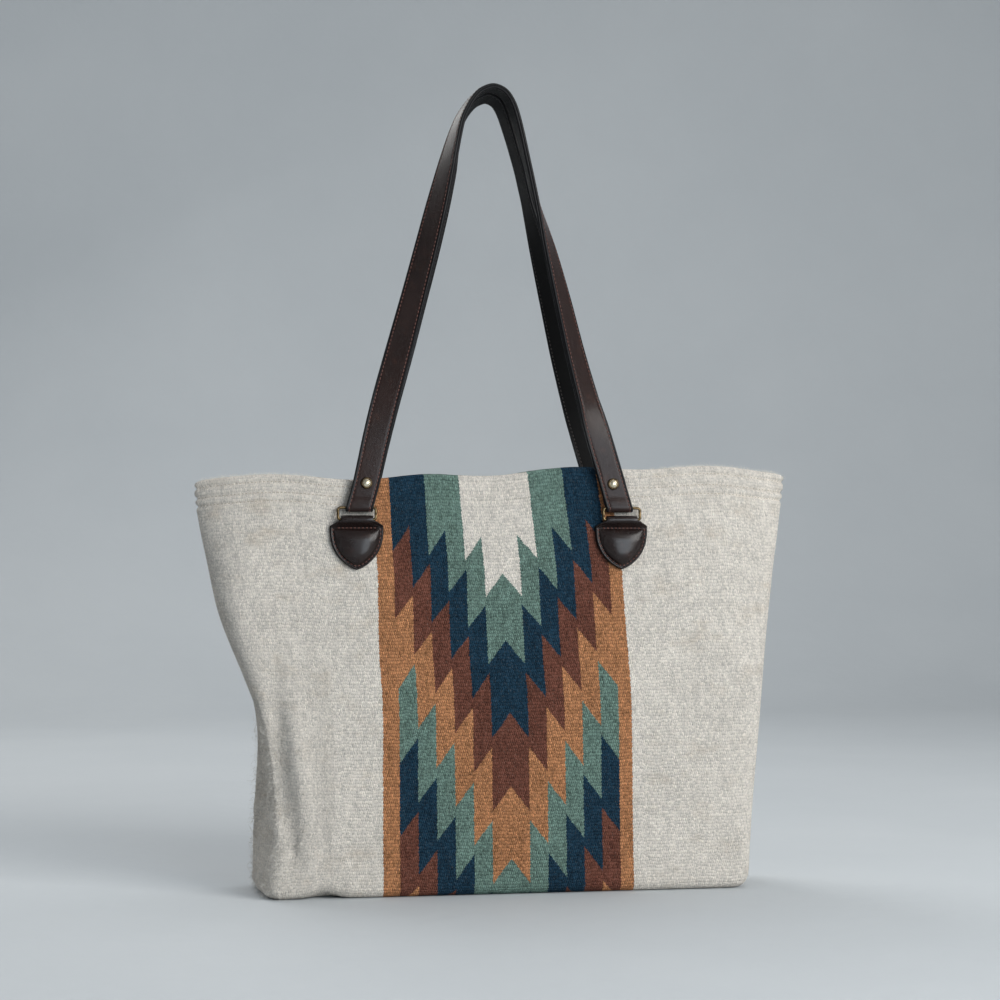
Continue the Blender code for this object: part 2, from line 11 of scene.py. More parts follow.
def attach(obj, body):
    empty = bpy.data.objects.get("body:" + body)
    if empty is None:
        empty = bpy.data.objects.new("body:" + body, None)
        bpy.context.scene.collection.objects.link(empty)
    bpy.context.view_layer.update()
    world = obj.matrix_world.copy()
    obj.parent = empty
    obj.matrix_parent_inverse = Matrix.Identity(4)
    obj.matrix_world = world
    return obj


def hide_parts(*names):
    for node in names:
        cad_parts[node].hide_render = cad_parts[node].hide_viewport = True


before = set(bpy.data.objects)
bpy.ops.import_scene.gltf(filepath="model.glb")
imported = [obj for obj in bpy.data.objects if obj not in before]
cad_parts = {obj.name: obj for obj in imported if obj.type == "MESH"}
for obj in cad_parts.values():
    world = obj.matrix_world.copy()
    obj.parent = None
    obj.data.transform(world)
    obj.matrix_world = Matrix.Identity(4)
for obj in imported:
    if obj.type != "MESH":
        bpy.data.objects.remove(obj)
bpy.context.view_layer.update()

# the bag, as in the CAD source
HEIGHT = 0.320
BASE_HALF_WIDTH = 0.193
BASE_HALF_DEPTH = 0.046
RIM_HALF_DEPTH = 0.0225
RIM_HALF_WIDTH = 0.2325
FLAT_HALF_WIDTH = 0.130
CLOTH = 0.0030
BASE_ROUND = 0.009
HEM_DEPTH = 0.024
LINING = 0.0010
GAP = 0.0003
PINCH, PINCH_Z, PINCH_SPREAD = 0.0172, 0.135, 0.078
LOW_PINCH, LOW_PINCH_Z, LOW_PINCH_SPREAD = 0.004, 0.030, 0.055
FOLD, FOLD_Z, FOLD_SPREAD = 0.020, 0.070, 0.075
BULGE, BULGE_Z, BULGE_SPREAD = 0.007, 0.250, 0.060
LONG_WAVE, LONG_WAVE_RUN, LONG_WAVE_START = 0.0022, 0.056, 0.0127
SHORT_WAVE, SHORT_WAVE_RUN, SHORT_WAVE_START = 0.0017, 0.018, 0.0265
RIM_RISE, RIM_LIFT = 0.0053, 0.0013
END_DROOP, DROOP_POWER = 0.0025, 20

# the handles' hardware, as in the CAD source
HANDLE_CENTRE_X = -0.0098
RING_SPACING = 0.2060
RING_BELOW_RIM = 0.0357
RING_LOW_Z = HEIGHT - RING_BELOW_RIM
RING_WIRE_R = 0.0011
RING_WIDTH = 0.0288
RING_HEIGHT = 0.0092
RING_CORNER_R = 0.0022
HINGE_OFF_WALL = 0.0048
LEATHER = 0.0020
STRAP_LINING = 0.0018
STRAP_WIDTH = 0.0210
FOLDED_END = 0.030
HOLE_R = RING_WIRE_R + GAP
TAB_NECK = 0.0244
TAB_WIDTH = 0.0412
TAB_SHOULDER = 0.0049
TAB_DROP = 0.0379
TAB_FLANGE = 0.0030
TAB_PAD = 0.0042
RIVET_HEAD_R = 0.0045
RIVET_ABOVE_RING = 0.0185
BACK_LEFT_IN = 0.007
NEST = 0.0030
NEST_FROM, NEST_FULL = 0.80, 0.96
BACK_MOST_TURN = 80
BACK_STANDS_OFF = 0.0009

# the woven panel: twelve columns of saw teeth between two borders
PANEL_COLUMN = 0.0142
PANEL_COLUMNS = 6
PANEL_STEP = 0.0306
PANEL_TOOTH = 0.0194
PANEL_BAND = 0.0571
PANEL_START = 0.0770
PANEL_LEFT_BORDER = 0.0127
PANEL_RIGHT_BORDER = 0.0102
RIB = 0.0025
YARN = 0.0016


# materials

def linear(*rgb):
    """A colour given as 0 to 255 display values, as Blender's shader takes it."""
    made = []
    for value in rgb:
        share = value / 255
        made.append(share / 12.92 if share <= 0.04045 else ((share + 0.055) / 1.055) ** 2.4)
    return (*made, 1.0)


class Nodes:
    """Short names for making a material's nodes."""

    def __init__(self, name):
        self.material = bpy.data.materials.new(name)
        self.material.use_nodes = True
        self.tree = self.material.node_tree
        self.shader = self.tree.nodes["Principled BSDF"]

    def add(self, kind, **settings):
        node = self.tree.nodes.new(kind)
        for name, value in settings.items():
            setattr(node, name, value)
        return node

    def feed(self, socket, value):
        if isinstance(value, bpy.types.NodeSocket):
            self.tree.links.new(value, socket)
        elif value is not None:
            socket.default_value = value

    def math(self, operation, first, second=None, third=None, clamp=False):
        node = self.add("ShaderNodeMath", operation=operation, use_clamp=clamp)
        for socket, value in zip(node.inputs, (first, second, third)):
            self.feed(socket, value)
        return node.outputs[0]

    def times(self, first, second):
        return self.math("MULTIPLY", first, second)

    def minus(self, first, second):
        return self.math("SUBTRACT", first, second)

    def scaled(self, value, factor, base):
        """A value times a factor, added to a base."""
        return self.math("MULTIPLY_ADD", value, factor, base)

    def sway(self, value, amount, base):
        """A value from 0 to 1, as a swing of `amount` in all about a base."""
        return self.scaled(self.minus(value, 0.5), amount, base)

    def mix(self, share, first, second, blend_type="MIX"):
        node = self.add("ShaderNodeMix", data_type="RGBA", blend_type=blend_type)
        self.feed(node.inputs[0], share)
        self.feed(node.inputs[6], first)
        self.feed(node.inputs[7], second)
        return node.outputs[2]

    def ramp(self, value, low, high, to_low=0.0, to_high=1.0, smooth=True):
        node = self.add("ShaderNodeMapRange", clamp=True,
                        interpolation_type="SMOOTHSTEP" if smooth else "LINEAR")
        for socket, given in zip(node.inputs[:5], (value, low, high, to_low, to_high)):
            self.feed(socket, given)
        return node.outputs[0]

    def attribute(self, name):
        return self.add("ShaderNodeAttribute", attribute_name=name).outputs["Vector"]

    def place(self):
        return self.add("ShaderNodeTexCoord").outputs["Object"]

    def split(self, vector):
        node = self.add("ShaderNodeSeparateXYZ")
        self.feed(node.inputs[0], vector)
        return node.outputs

    def join(self, x, y, z=0.0):
        node = self.add("ShaderNodeCombineXYZ")
        for socket, value in zip(node.inputs, (x, y, z)):
            self.feed(socket, value)
        return node.outputs[0]

    def squeezed(self, u, factor, v, seed=0.0):
        """Places on the cloth that are squeezed across, so that a noise there makes streaks."""
        return self.join(self.times(u, factor), v, seed)

    def noise(self, vector, size, detail=2.0, roughness=0.5):
        """A noise whose features are about `size` metres across."""
        node = self.add("ShaderNodeTexNoise")
        self.feed(node.inputs["Vector"], vector)
        node.inputs["Scale"].default_value = 1.0 / size
        node.inputs["Detail"].default_value = detail
        node.inputs["Roughness"].default_value = roughness
        return node.outputs[0]

    def random(self, vector):
        node = self.add("ShaderNodeTexWhiteNoise", noise_dimensions="3D")
        self.feed(node.inputs["Vector"], vector)
        return node.outputs[0]

    def bump(self, height, depth, after=None):
        node = self.add("ShaderNodeBump")
        node.inputs["Strength"].default_value = 1.0
        node.inputs["Distance"].default_value = depth
        self.feed(node.inputs["Height"], height)
        self.feed(node.inputs["Normal"], after)
        return node.outputs[0]

    def finish(self, colour, roughness, normal=None, **fixed):
        self.feed(self.shader.inputs["Base Color"], colour)
        self.feed(self.shader.inputs["Roughness"], roughness)
        self.feed(self.shader.inputs["Normal"], normal)
        for name, value in fixed.items():
            self.shader.inputs[name.replace("_", " ")].default_value = value
        return self.material


CREAM = linear(228, 221, 211)
ORANGE = linear(188, 132, 92)
BROWN = linear(114, 72, 60)
NAVY = linear(32, 58, 76)
SAGE = linear(112, 138, 128)
PANEL_CYCLE = (SAGE, NAVY, BROWN, ORANGE)
COTTON_YARN = 0.0009
PORE = 0.0008


def woven_wool():
    """Weft-faced wool: the panel's colours stepped to the weave, strokes of yarn, heather, painted
    shade between the strokes and painted sheen on the fuzz.
    """
    n = Nodes("woven_wool")
    u, v, slip = n.split(n.attribute("cloth"))
    cloth = n.join(u, v)

    # the yarns wander a little
    u_soft = n.sway(n.noise(cloth, 0.005, 2.0), 0.0018, u)
    v_soft = n.sway(n.noise(n.join(v, u), 0.007, 3.0), 0.0022, v)
    row = n.math("DIVIDE", v_soft, RIB)
    odd = n.math("MODULO", n.math("ABSOLUTE", n.math("FLOOR", row)), 2.0)
    column = n.scaled(odd, 0.5, n.math("DIVIDE", u_soft, YARN))
    column_whole, column_part = n.math("FLOOR", column), n.math("FRACT", column)
    row = n.math("ADD", row, n.times(n.random(n.join(column_whole, 3.0)), 0.40))
    row_whole, row_part = n.math("FLOOR", row), n.math("FRACT", row)

    # the panel's rule, stepped to the rows of weft
    level = n.math("FLOOR", n.math("DIVIDE", v_soft, RIB / 2))
    y = n.scaled(level, RIB / 2, slip)
    scallop = n.math("ABSOLUTE", n.math("SINE", n.times(v_soft, math.pi / RIB)))
    u_edge = n.scaled(scallop, 0.00055, u_soft)
    a = n.math("ABSOLUTE", n.math("DIVIDE", u_edge, PANEL_COLUMN))
    k = n.math("FLOOR", a)
    reach = n.scaled(k, PANEL_STEP, n.minus(y, PANEL_START))
    reach = n.scaled(n.minus(a, k), -PANEL_TOOTH, reach)
    band = n.math("FLOOR", n.math("DIVIDE", reach, PANEL_BAND))
    band = n.math("MAXIMUM", band, n.minus(n.math("FLOOR", n.times(k, 0.5)), 1.0))
    turn = n.math("MODULO", n.math("ADD", band, 8.0), 4.0)
    colour = PANEL_CYCLE[0]
    for i in (1, 2, 3):
        colour = n.mix(n.math("COMPARE", turn, float(i), 0.25), colour, PANEL_CYCLE[i])
    above = n.math("LESS_THAN", band, -0.5)
    colour = n.mix(above, colour, CREAM)
    colour = n.mix(n.math("GREATER_THAN", a, float(PANEL_COLUMNS)), colour, ORANGE)
    left = n.math("LESS_THAN", u_edge, -(PANEL_COLUMN * PANEL_COLUMNS + PANEL_LEFT_BORDER))
    right = n.math("GREATER_THAN", u_edge, PANEL_COLUMN * PANEL_COLUMNS + PANEL_RIGHT_BORDER)
    plain = n.math("MAXIMUM", left, right)
    colour = n.mix(plain, colour, CREAM)

    # each stroke of yarn has its own shade, and the wool is heathered along it
    dyed = n.minus(1.0, n.math("MAXIMUM", plain, above))
    heather = n.noise(n.squeezed(u, 2.8, v), 0.0030, 4.0, 0.72)
    light = n.sway(n.random(n.join(column_whole, row_whole)), 0.24, 1.0)
    light = n.sway(heather, 1.35, light)
    light = n.sway(n.noise(n.squeezed(u, 4.0, v), 0.020, 4.0, 0.7), 0.46, light)
    light = n.sway(n.noise(n.squeezed(u, 1.8, v), 0.050, 4.0, 0.6), 0.30, light)
    stronger = n.scaled(n.minus(light, 1.0), 1.85, 1.0)
    light = n.math("ADD", n.times(dyed, n.minus(stronger, light)), light)

    # painted shade in the hollows between the strokes, deeper between the ribs, and a little
    # painted light on the strokes' tops
    length = n.math("SINE", n.times(row_part, math.pi))
    oval = n.math("SINE", n.times(column_part, math.pi))
    rise = n.times(n.math("POWER", length, 0.45), n.math("POWER", oval, 0.5))
    wear_and_gap_shade = n.ramp(n.noise(cloth, 0.012, 3.0, 0.7), 0.3, 0.7, 0.46, 0.70)
    wear_and_gap_shade = n.scaled(n.minus(1.0, dyed), 0.24, wear_and_gap_shade)
    light = n.times(light, n.ramp(rise, 0.0, 0.72, wear_and_gap_shade, 1.11))
    colour = n.mix(1.0, colour, n.join(light, light, light), "MULTIPLY")

    # pale speckles of painted sheen on the fuzz over the dyed wool
    hair = n.noise(n.squeezed(u, 3.0, v, 0.9), 0.0016, 3.0, 0.75)
    pale = n.times(n.ramp(hair, 0.56, 0.80), n.times(dyed, 0.46))
    colour = n.mix(pale, colour, linear(170, 166, 156))

    # beige clouds and stray brown fibres in the cream wool
    beige = n.ramp(n.noise(n.squeezed(u, 0.6, v, 2.0), 0.020, 4.0, 0.65), 0.5, 0.8)
    colour = n.mix(n.times(n.times(beige, plain), 0.44), colour, linear(190, 172, 148))
    fleck = n.ramp(n.noise(n.squeezed(u, 3.0, v, 0.7), 0.0042, 2.0), 0.70, 0.78)
    colour = n.mix(n.times(n.times(fleck, plain), 0.40), colour, linear(120, 104, 92))

    fibre = n.noise(n.squeezed(u, 2.4, v, 0.3), 0.0010, 3.0, 0.7)
    height = n.scaled(fibre, 0.8, n.times(rise, n.scaled(dyed, 0.35, 0.45)))
    normal = n.bump(n.scaled(heather, 1.2, height), 0.0018)
    n.feed(n.shader.inputs["Sheen Tint"], colour)
    return n.finish(colour, 0.95, normal, Sheen_Weight=0.10, Sheen_Roughness=0.5,
                    Specular_IOR_Level=0.06)


def cotton():
    """Plain cotton lining: a fine even weave with slubs."""
    n = Nodes("lining_cotton")
    u, v, _ = n.split(n.attribute("cloth"))
    waves = [n.math("SINE", n.times(run, 2 * math.pi / COTTON_YARN)) for run in (u, v)]
    slub = n.noise(n.join(u, n.times(v, 12.0)), 0.02, 3.0)
    shade = n.scaled(slub, 0.25, 0.86)
    colour = n.mix(1.0, linear(196, 182, 158), n.join(shade, shade, shade), "MULTIPLY")
    height = n.scaled(n.times(*waves), 0.3, slub)
    return n.finish(colour, 0.9, n.bump(height, 0.0003), Sheen_Weight=0.15)


def leather(name, low, high, wear_and_gap_shade, gloss, coat, shine):
    """Smooth waxed leather: fine pores, creases, cloudy dye and paler rubbed places."""
    n = Nodes(name)
    place = n.place()
    cloud = n.noise(place, 0.030, 4.0, 0.6)
    rubbed = n.ramp(n.noise(place, 0.011, 4.0, 0.7), 0.52, 0.75)
    pore_node = n.add("ShaderNodeTexVoronoi", feature="DISTANCE_TO_EDGE")
    n.feed(pore_node.inputs["Vector"], place)
    pore_node.inputs["Scale"].default_value = 1 / PORE
    pore = n.ramp(pore_node.outputs["Distance"], 0.0, 0.16)
    crease = n.noise(place, 0.0035, 5.0, 0.7)
    colour = n.mix(cloud, low, high)
    colour = n.mix(n.times(rubbed, 0.35), colour, wear_and_gap_shade)
    colour = n.mix(n.times(n.minus(1.0, pore), 0.3), colour, low)
    height = n.scaled(crease, 0.9, n.times(pore, 0.45))
    rough = n.scaled(cloud, 0.16, gloss)
    return n.finish(colour, rough, n.bump(height, 0.00020), Coat_Weight=coat,
                    Coat_Roughness=0.22, Specular_IOR_Level=shine)


def edge_paint():
    """Black edge paint, a little lumpy."""
    n = Nodes("painted_edge")
    blob = n.noise(n.place(), 0.0015, 3.0)
    colour = n.mix(blob, linear(9, 9, 10), linear(22, 21, 23))
    return n.finish(colour, 0.42, n.bump(blob, 0.0002), Specular_IOR_Level=0.16)


def thread(name, low, high):
    """Waxed twisted thread."""
    n = Nodes(name)
    twist = n.noise(n.place(), 0.0006, 2.0)
    return n.finish(n.mix(twist, low, high), 0.6, n.bump(twist, 0.0001), Sheen_Weight=0.2)


def brass(name, low, high, gloss):
    """Antiqued brass: clouded lacquer with darker patina and fine scratches."""
    n = Nodes(name)
    place = n.place()
    x, y, z = n.split(place)
    cloud = n.noise(place, 0.0030, 4.0, 0.65)
    scratch = n.noise(n.squeezed(x, 9.0, y, z), 0.0012, 2.0)
    colour = n.mix(n.ramp(cloud, 0.35, 0.65), low, high)
    rough = n.scaled(cloud, 0.25, gloss)
    return n.finish(colour, rough, n.bump(scratch, 0.00005), Metallic=1.0)


WOOL = woven_wool()
COTTON = cotton()
STRAP_FACE = leather("strap_leather_face", linear(22, 12, 10), linear(43, 25, 20),
                     linear(72, 44, 33), 0.24, 0.10, 0.20)
STRAP_BACK = leather("strap_leather_back", linear(5, 5, 5), linear(10, 9, 9),
                     linear(16, 14, 13), 0.60, 0.0, 0.20)
TAB_FACE = leather("tab_leather_face", linear(14, 7, 6), linear(32, 17, 13),
                   linear(64, 37, 28), 0.20, 0.30, 0.18)
EDGE = edge_paint()
BROWN_THREAD = thread("brown_thread", linear(68, 35, 28), linear(106, 60, 46))
TAN_THREAD = thread("tan_thread", linear(164, 146, 122), linear(192, 176, 150))
HAIR = thread("wool_hair", linear(206, 200, 190), linear(232, 228, 220))
DARK_THREAD = thread("dark_thread", linear(24, 18, 17), linear(42, 32, 29))
BRASS = brass("antique_brass_wire", linear(52, 42, 30), linear(126, 106, 76), 0.22)
BRASS_DARK = brass("antique_brass_rim", linear(40, 33, 26), linear(88, 74, 54), 0.28)
# the rivet domes' pale brass is a painted highlight
BRASS_DOME_HIGHLIGHT = brass("brass_dome_painted_highlight", linear(186, 176, 150), linear(226, 219, 196), 0.20)


# meshes

def make_piece(name, points, faces, materials, slots=None, cloth=None):
    """A smooth mesh object: faces may be given a material slot, and points cloth places."""
    data = bpy.data.meshes.new(name)
    data.from_pydata([tuple(p) for p in points], [], faces)
    for mat in materials:
        data.materials.append(mat)
    if slots is not None:
        data.polygons.foreach_set("material_index", np.asarray(slots, dtype=np.int32))
    data.polygons.foreach_set("use_smooth", np.ones(len(data.polygons), dtype=bool))
    if cloth is not None:
        layer = data.attributes.new("cloth", "FLOAT_VECTOR", "POINT")
        layer.data.foreach_set("vector", np.asarray(cloth, dtype=np.float32).ravel())
    data.update()
    obj = bpy.data.objects.new(name, data)
    bpy.context.scene.collection.objects.link(obj)
    return obj


def read_vectors(layer, name):
    """A named vector of every item in a mesh's layer, one row each."""
    values = np.empty(len(layer) * 3)
    layer.foreach_get(name, values)
    return values.reshape(-1, 3)


def loft_faces(count, rings):
    """The faces between closed rings of points, each of the same count."""
    faces = []
    for row in range(rings - 1):
        here, there = row * count, (row + 1) * count
        for i in range(count):
            j = (i + 1) % count
            faces.append((here + i, here + j, there + j, there + i))
    return faces


# the bag's surface, by the CAD source's rule

def blend(low, high, share):
    return low + (high - low) * share


def half_depth(z):
    return blend(BASE_HALF_DEPTH, RIM_HALF_DEPTH, z / HEIGHT)


TURNS = np.linspace(0.0, math.pi / 2, 900)
PARTS = np.sqrt(np.sin(TURNS))


def quarter(width, depth, z):
    """The points from the middle of the front to the side, with their distance along it."""
    share = min(max((z - BASE_ROUND) / (HEIGHT - BASE_ROUND), 0.0), 1.0) ** 0.75
    power, root = blend(14.0, 2.4, share), blend(5.0, 1.0, share)
    xs = np.concatenate([[0.0], FLAT_HALF_WIDTH + (width - FLAT_HALF_WIDTH) * PARTS])
    ys = np.concatenate([[depth], depth * np.maximum(0.0, 1 - PARTS ** power) ** (1 / root)])
    lengths = np.concatenate([[0.0], np.cumsum(np.hypot(np.diff(xs), np.diff(ys)))])
    return xs, ys, lengths


BASE_QUARTER = quarter(BASE_HALF_WIDTH, BASE_HALF_DEPTH, 0.0)[2][-1]
RIM_QUARTER = quarter(RIM_HALF_WIDTH, RIM_HALF_DEPTH, HEIGHT)[2][-1]
WIDTHS = {}


def half_width(z):
    if z not in WIDTHS:
        low, high = FLAT_HALF_WIDTH, 1.5 * RIM_HALF_WIDTH
        length = blend(BASE_QUARTER, RIM_QUARTER, z / HEIGHT)
        for _ in range(36):
            middle = (low + high) / 2
            if quarter(middle, half_depth(z), z)[2][-1] < length:
                low = middle
            else:
                high = middle
        WIDTHS[z] = low
    return WIDTHS[z]


def bump_at(z, middle, spread):
    return math.exp(-((z - middle) / spread) ** 2)


def step(low, high, value):
    """0 at `low`, 1 at `high`, and smooth between them."""
    share = np.clip((value - low) / (high - low), 0.0, 1.0)
    return share * share * (3 - 2 * share)


def rim_wave(x):
    return (LONG_WAVE * np.sin((x - LONG_WAVE_START) / LONG_WAVE_RUN)
            + SHORT_WAVE * np.sin((x - SHORT_WAVE_START) / SHORT_WAVE_RUN)
            + RIM_RISE * x / RIM_HALF_WIDTH + RIM_LIFT
            - END_DROOP * (abs(x) / RIM_HALF_WIDTH) ** DROOP_POWER)


# softer shapes that the solids leave out: the left side's hollow, the tuck below its rim, the
# valley in front of it, and the shallow notch under the front edge, where the base's corner folds
HOLLOW, HOLLOW_Z, HOLLOW_SPREAD = 0.0130, 0.090, 0.064
TUCK, TUCK_Z, TUCK_SPREAD = 0.0056, 0.252, 0.040
VALLEY, VALLEY_WIDTH, VALLEY_Z, VALLEY_SPREAD = 0.0072, 0.0070, 0.095, 0.062
VALLEY_PATH = ((0.030, 0.085, 0.160), (-0.162, -0.1680, -0.1760))
NOTCH, NOTCH_X, NOTCH_WIDTH, NOTCH_TALL = 0.0050, -0.1385, 0.0110, 0.0140

AROUND = 130
STOPS = np.linspace(0.0, 1.0, AROUND)


def loop(z, inset, draw_in=0.0, lift=0.0):
    """A closed ring of points round the bag, and each point's distance from its panel's middle."""
    depth = half_depth(z) - inset - draw_in
    tip = blend(1.0, 1.9, (z / HEIGHT) ** 1.5)
    width = half_width(z) - inset * tip - draw_in
    xs, ys, lengths = quarter(width, depth, z)
    targets = STOPS * lengths[-1]
    qx, qy = np.interp(targets, lengths, xs), np.interp(targets, lengths, ys)
    x = np.concatenate([qx, qx[-2::-1], -qx[1:], -qx[-2:0:-1]])
    y = np.concatenate([-qy, qy[-2::-1], qy[1:], -qy[-2:0:-1]])
    u = np.concatenate([targets, targets[-2::-1], -targets[1:], -targets[-2:0:-1]])
    outer = half_width(z)
    part = np.clip((-x - FLAT_HALF_WIDTH) / (outer - FLAT_HALF_WIDTH), 0.0, None)
    push = PINCH * bump_at(z, PINCH_Z, PINCH_SPREAD)
    push += LOW_PINCH * bump_at(z, LOW_PINCH_Z, LOW_PINCH_SPREAD)
    across = -y / half_depth(z)
    forward = np.clip(across, 0.0, None)
    x = x + part * (push * (1 - 0.45 * forward) - BULGE * bump_at(z, BULGE_Z, BULGE_SPREAD)
                    + FOLD * forward * bump_at(z, FOLD_Z, FOLD_SPREAD))
    hollow = step(0.82, 0.35, across) * step(-0.92, -0.40, across)
    x = x + part * hollow * HOLLOW * bump_at(z, HOLLOW_Z, HOLLOW_SPREAD)
    x = x + part * TUCK * bump_at(z, TUCK_Z, TUCK_SPREAD)
    middle = np.interp(z, *VALLEY_PATH)
    valley = np.exp(-((x - middle) / VALLEY_WIDTH) ** 2)
    valley -= 0.45 * np.exp(-((x - middle - 1.9 * VALLEY_WIDTH) / VALLEY_WIDTH) ** 2)
    y = y + VALLEY * valley * bump_at(z, VALLEY_Z, VALLEY_SPREAD) * (across > 0.6)
    high = z + lift + rim_wave(x) * (z / HEIGHT) ** 3
    slope = (RIM_HALF_DEPTH - BASE_HALF_DEPTH) / HEIGHT * (high - z)
    y = y + slope * (y / depth)
    notch = np.exp(-((x - NOTCH_X) / NOTCH_WIDTH) ** 2) * math.exp(-((z + lift) / NOTCH_TALL) ** 2)
    high = high + NOTCH * notch * np.clip(across, 0.0, 1.0)
    return np.stack([x, y, high], axis=1), u


def panel_shift(v):
    """How far the panel's middle has wandered from the bag's, at a distance below the rim."""
    return np.interp(v, [0.0, 0.040, 0.077, 0.110, 0.140, 0.165, 0.190, 0.300],
                     [-0.0066, -0.0030, 0.0002, 0.0010, 0.0022, 0.0040, 0.0046, 0.0041])


def panel_slip(v):
    """How far the drawing runs ahead of the cloth, because the lower bands are beaten closer."""
    return np.interp(v, [0.060, 0.088, 0.124, 0.149, 0.186, 0.247, 0.300],
                     [0.0, 0.0024, 0.0069, 0.0088, 0.0090, 0.0106, 0.0137])


def panel_gather(v):
    """The hem draws the panel in a little."""
    return np.interp(v, [0.0, 0.06, 0.14], [1.055, 1.02, 1.0])


def cloth_places(u, v):
    """Distances over the cloth, from the panel's middle and from the rim."""
    return np.stack([(u - panel_shift(v)) * panel_gather(v), v, panel_slip(v)], axis=1)


def near_tab(x, z):
    """1 where a tab or a folded strap lies against the wall, 0 well away from it."""
    closest = np.minimum(abs(x - HANDLE_CENTRE_X - RING_SPACING / 2),
                         abs(x - HANDLE_CENTRE_X + RING_SPACING / 2))
    across = 1 - np.clip((closest - 0.022) / 0.020, 0.0, 1.0)
    low, high = RING_LOW_Z - TAB_DROP, HEIGHT + 0.03
    up = 1 - np.clip((low - z) / 0.020, 0.0, 1.0)
    return across * up * (z < high)


HEM_ROWS = (0.0058, 0.0140, 0.0205)
HEM_GROOVE, HEM_GROOVE_WIDTH, HEM_RISE, HEM_EDGE = 0.0014, 0.0016, 0.0006, 0.0010

# how far the cloth stands out in each wave, the wave's width and height, and its seed
SLACK = (0.0030, 0.070, 0.15, 3.1)
RIPPLE = (0.0012, 0.024, 0.070, 7.7)
CRUMPLE = (0.00035, 0.010, 0.014, 1.9)
FUZZ = (0.00018, 0.0045, 0.0060, 4.3)
CORNER_CRUMPLE, CORNER_X, CORNER_Z, CORNER_WIDTH, CORNER_TALL = 0.0018, -0.160, 0.040, 0.030, 0.024


def soft_wall(points, u, v):
    """How far the cloth stands out from the CAD surface: slack, ripples and hem ridges."""
    x, z = points[:, 0], points[:, 2]
    out = np.zeros(len(points))
    for i, (p, a, b) in enumerate(zip(points, u, v)):
        side = 1.0 if p[1] < 0 else -1.0
        corner = math.exp(-((p[0] - CORNER_X) / CORNER_WIDTH) ** 2
                          - ((p[2] - CORNER_Z) / CORNER_TALL) ** 2)
        for wave in (SLACK, RIPPLE, CRUMPLE, FUZZ):
            height, wide, tall, seed = wave
            if wave is CRUMPLE:
                height += CORNER_CRUMPLE * corner
            out[i] += height * noise.noise(Vector((a / wide, b / tall, side * seed)))
    # the seams hold the cloth at the sides, and the hem stands out over it
    out *= 1 - 0.75 * np.clip((abs(x) - 0.180) / 0.025, 0.0, 1.0)
    out += HEM_RISE * (1 / (1 + np.exp((v - HEM_DEPTH) / HEM_EDGE)))
    # each row of stitches draws the hem in, more toward its worn ends
    worn_end = 1 + 0.5 * np.clip((-x - 0.09) / 0.12, 0.0, 1.0)
    worn_end += 0.4 * np.clip((x - 0.10) / 0.08, 0.0, 1.0)
    for row in HEM_ROWS:
        out -= HEM_GROOVE * worn_end * np.exp(-((v - row) / HEM_GROOVE_WIDTH) ** 2)
    return out * (1 - near_tab(x, z))


def wool_body():
    """The wool shell: under the base, up the wall, over the rim and down inside the hem."""
    rings, us, vs = [], [], []

    def add(z, inset, v, draw_in=0.0, lift=0.0):
        points, u = loop(z, inset, draw_in, lift)
        rings.append(points)
        us.append(u)
        vs.append(np.full(len(u), v))

    # under the base, from its middle line out
    for share in (0.0, 0.12, 0.3, 0.5, 0.7, 0.88, 1.0):
        flat, _ = loop(0.0, 0.0, BASE_ROUND)
        half = abs(flat[:, 1]).max()
        flat *= [blend(0.90, 1.0, share), share, share ** 8]
        rings.append(flat)
        us.append(flat[:, 0].copy())
        vs.append(HEIGHT + BASE_ROUND * 0.57 + half - abs(flat[:, 1]))
    for degrees in (75, 60, 45, 30, 15):
        turn = math.radians(degrees)
        add(0.0, 0.0, HEIGHT - BASE_ROUND * (1 - turn), BASE_ROUND * (1 - math.cos(turn)),
            BASE_ROUND * (1 - math.sin(turn)))
    wall_rows, hem_rows, inner_rows = 118, 26, 12
    low_hem = HEIGHT - HEM_DEPTH - 0.004
    turn_r = (2 * CLOTH + LINING + 2 * GAP) / 2
    heights = [blend(BASE_ROUND, low_hem, i / wall_rows) for i in range(wall_rows)]
    heights += [blend(low_hem, HEIGHT - turn_r, i / hem_rows) for i in range(hem_rows + 1)]
    for z in heights:
        add(z, 0.0, HEIGHT - z)
    for degrees in range(15, 181, 15):
        turn = math.radians(degrees)
        z = HEIGHT - turn_r + turn_r * math.sin(turn)
        add(z, turn_r * (1 - math.cos(turn)), turn_r - turn_r * turn)
    for i in range(1, inner_rows + 1):
        z = blend(HEIGHT - turn_r, HEIGHT - HEM_DEPTH, i / inner_rows)
        add(z, 2 * turn_r, turn_r - math.pi * turn_r - (HEIGHT - turn_r - z))
    # the hem's raw edge turns back to the wall
    add(HEIGHT - HEM_DEPTH - 0.0008, 2 * turn_r - 0.0010, -HEM_DEPTH - 0.009)
    add(HEIGHT - HEM_DEPTH, 2 * turn_r - 0.0025, -HEM_DEPTH - 0.011)
    points = np.concatenate(rings)
    u, v = np.concatenate(us), np.concatenate(vs)
    obj = make_piece("wool_bag", points, loft_faces(len(rings[0]), len(rings)), [WOOL],
                     cloth=cloth_places(u, v))
    data = obj.data
    normals = read_vectors(data.vertices, "normal")
    on_wall_rows = (v > 0.0) & (v < HEIGHT - BASE_ROUND)
    if (normals * points * [1.0, 1.0, 0.0]).sum(axis=1)[on_wall_rows].mean() < 0:
        data.flip_normals()
        normals = -normals
    out = soft_wall(points, u, v) * np.clip(points[:, 2] / 0.03, 0.0, 1.0)
    out *= np.where(v < 0, 0.35, 1.0)
    points = points + normals * out[:, None]
    data.vertices.foreach_set("co", points.ravel())
    data.update()
    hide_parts("woven_body")
    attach(obj, "bag")
    return obj


HAIR_SEGMENTS, HAIR_ROOT, HAIR_LOWEST = 3, 0.0003, 0.0003


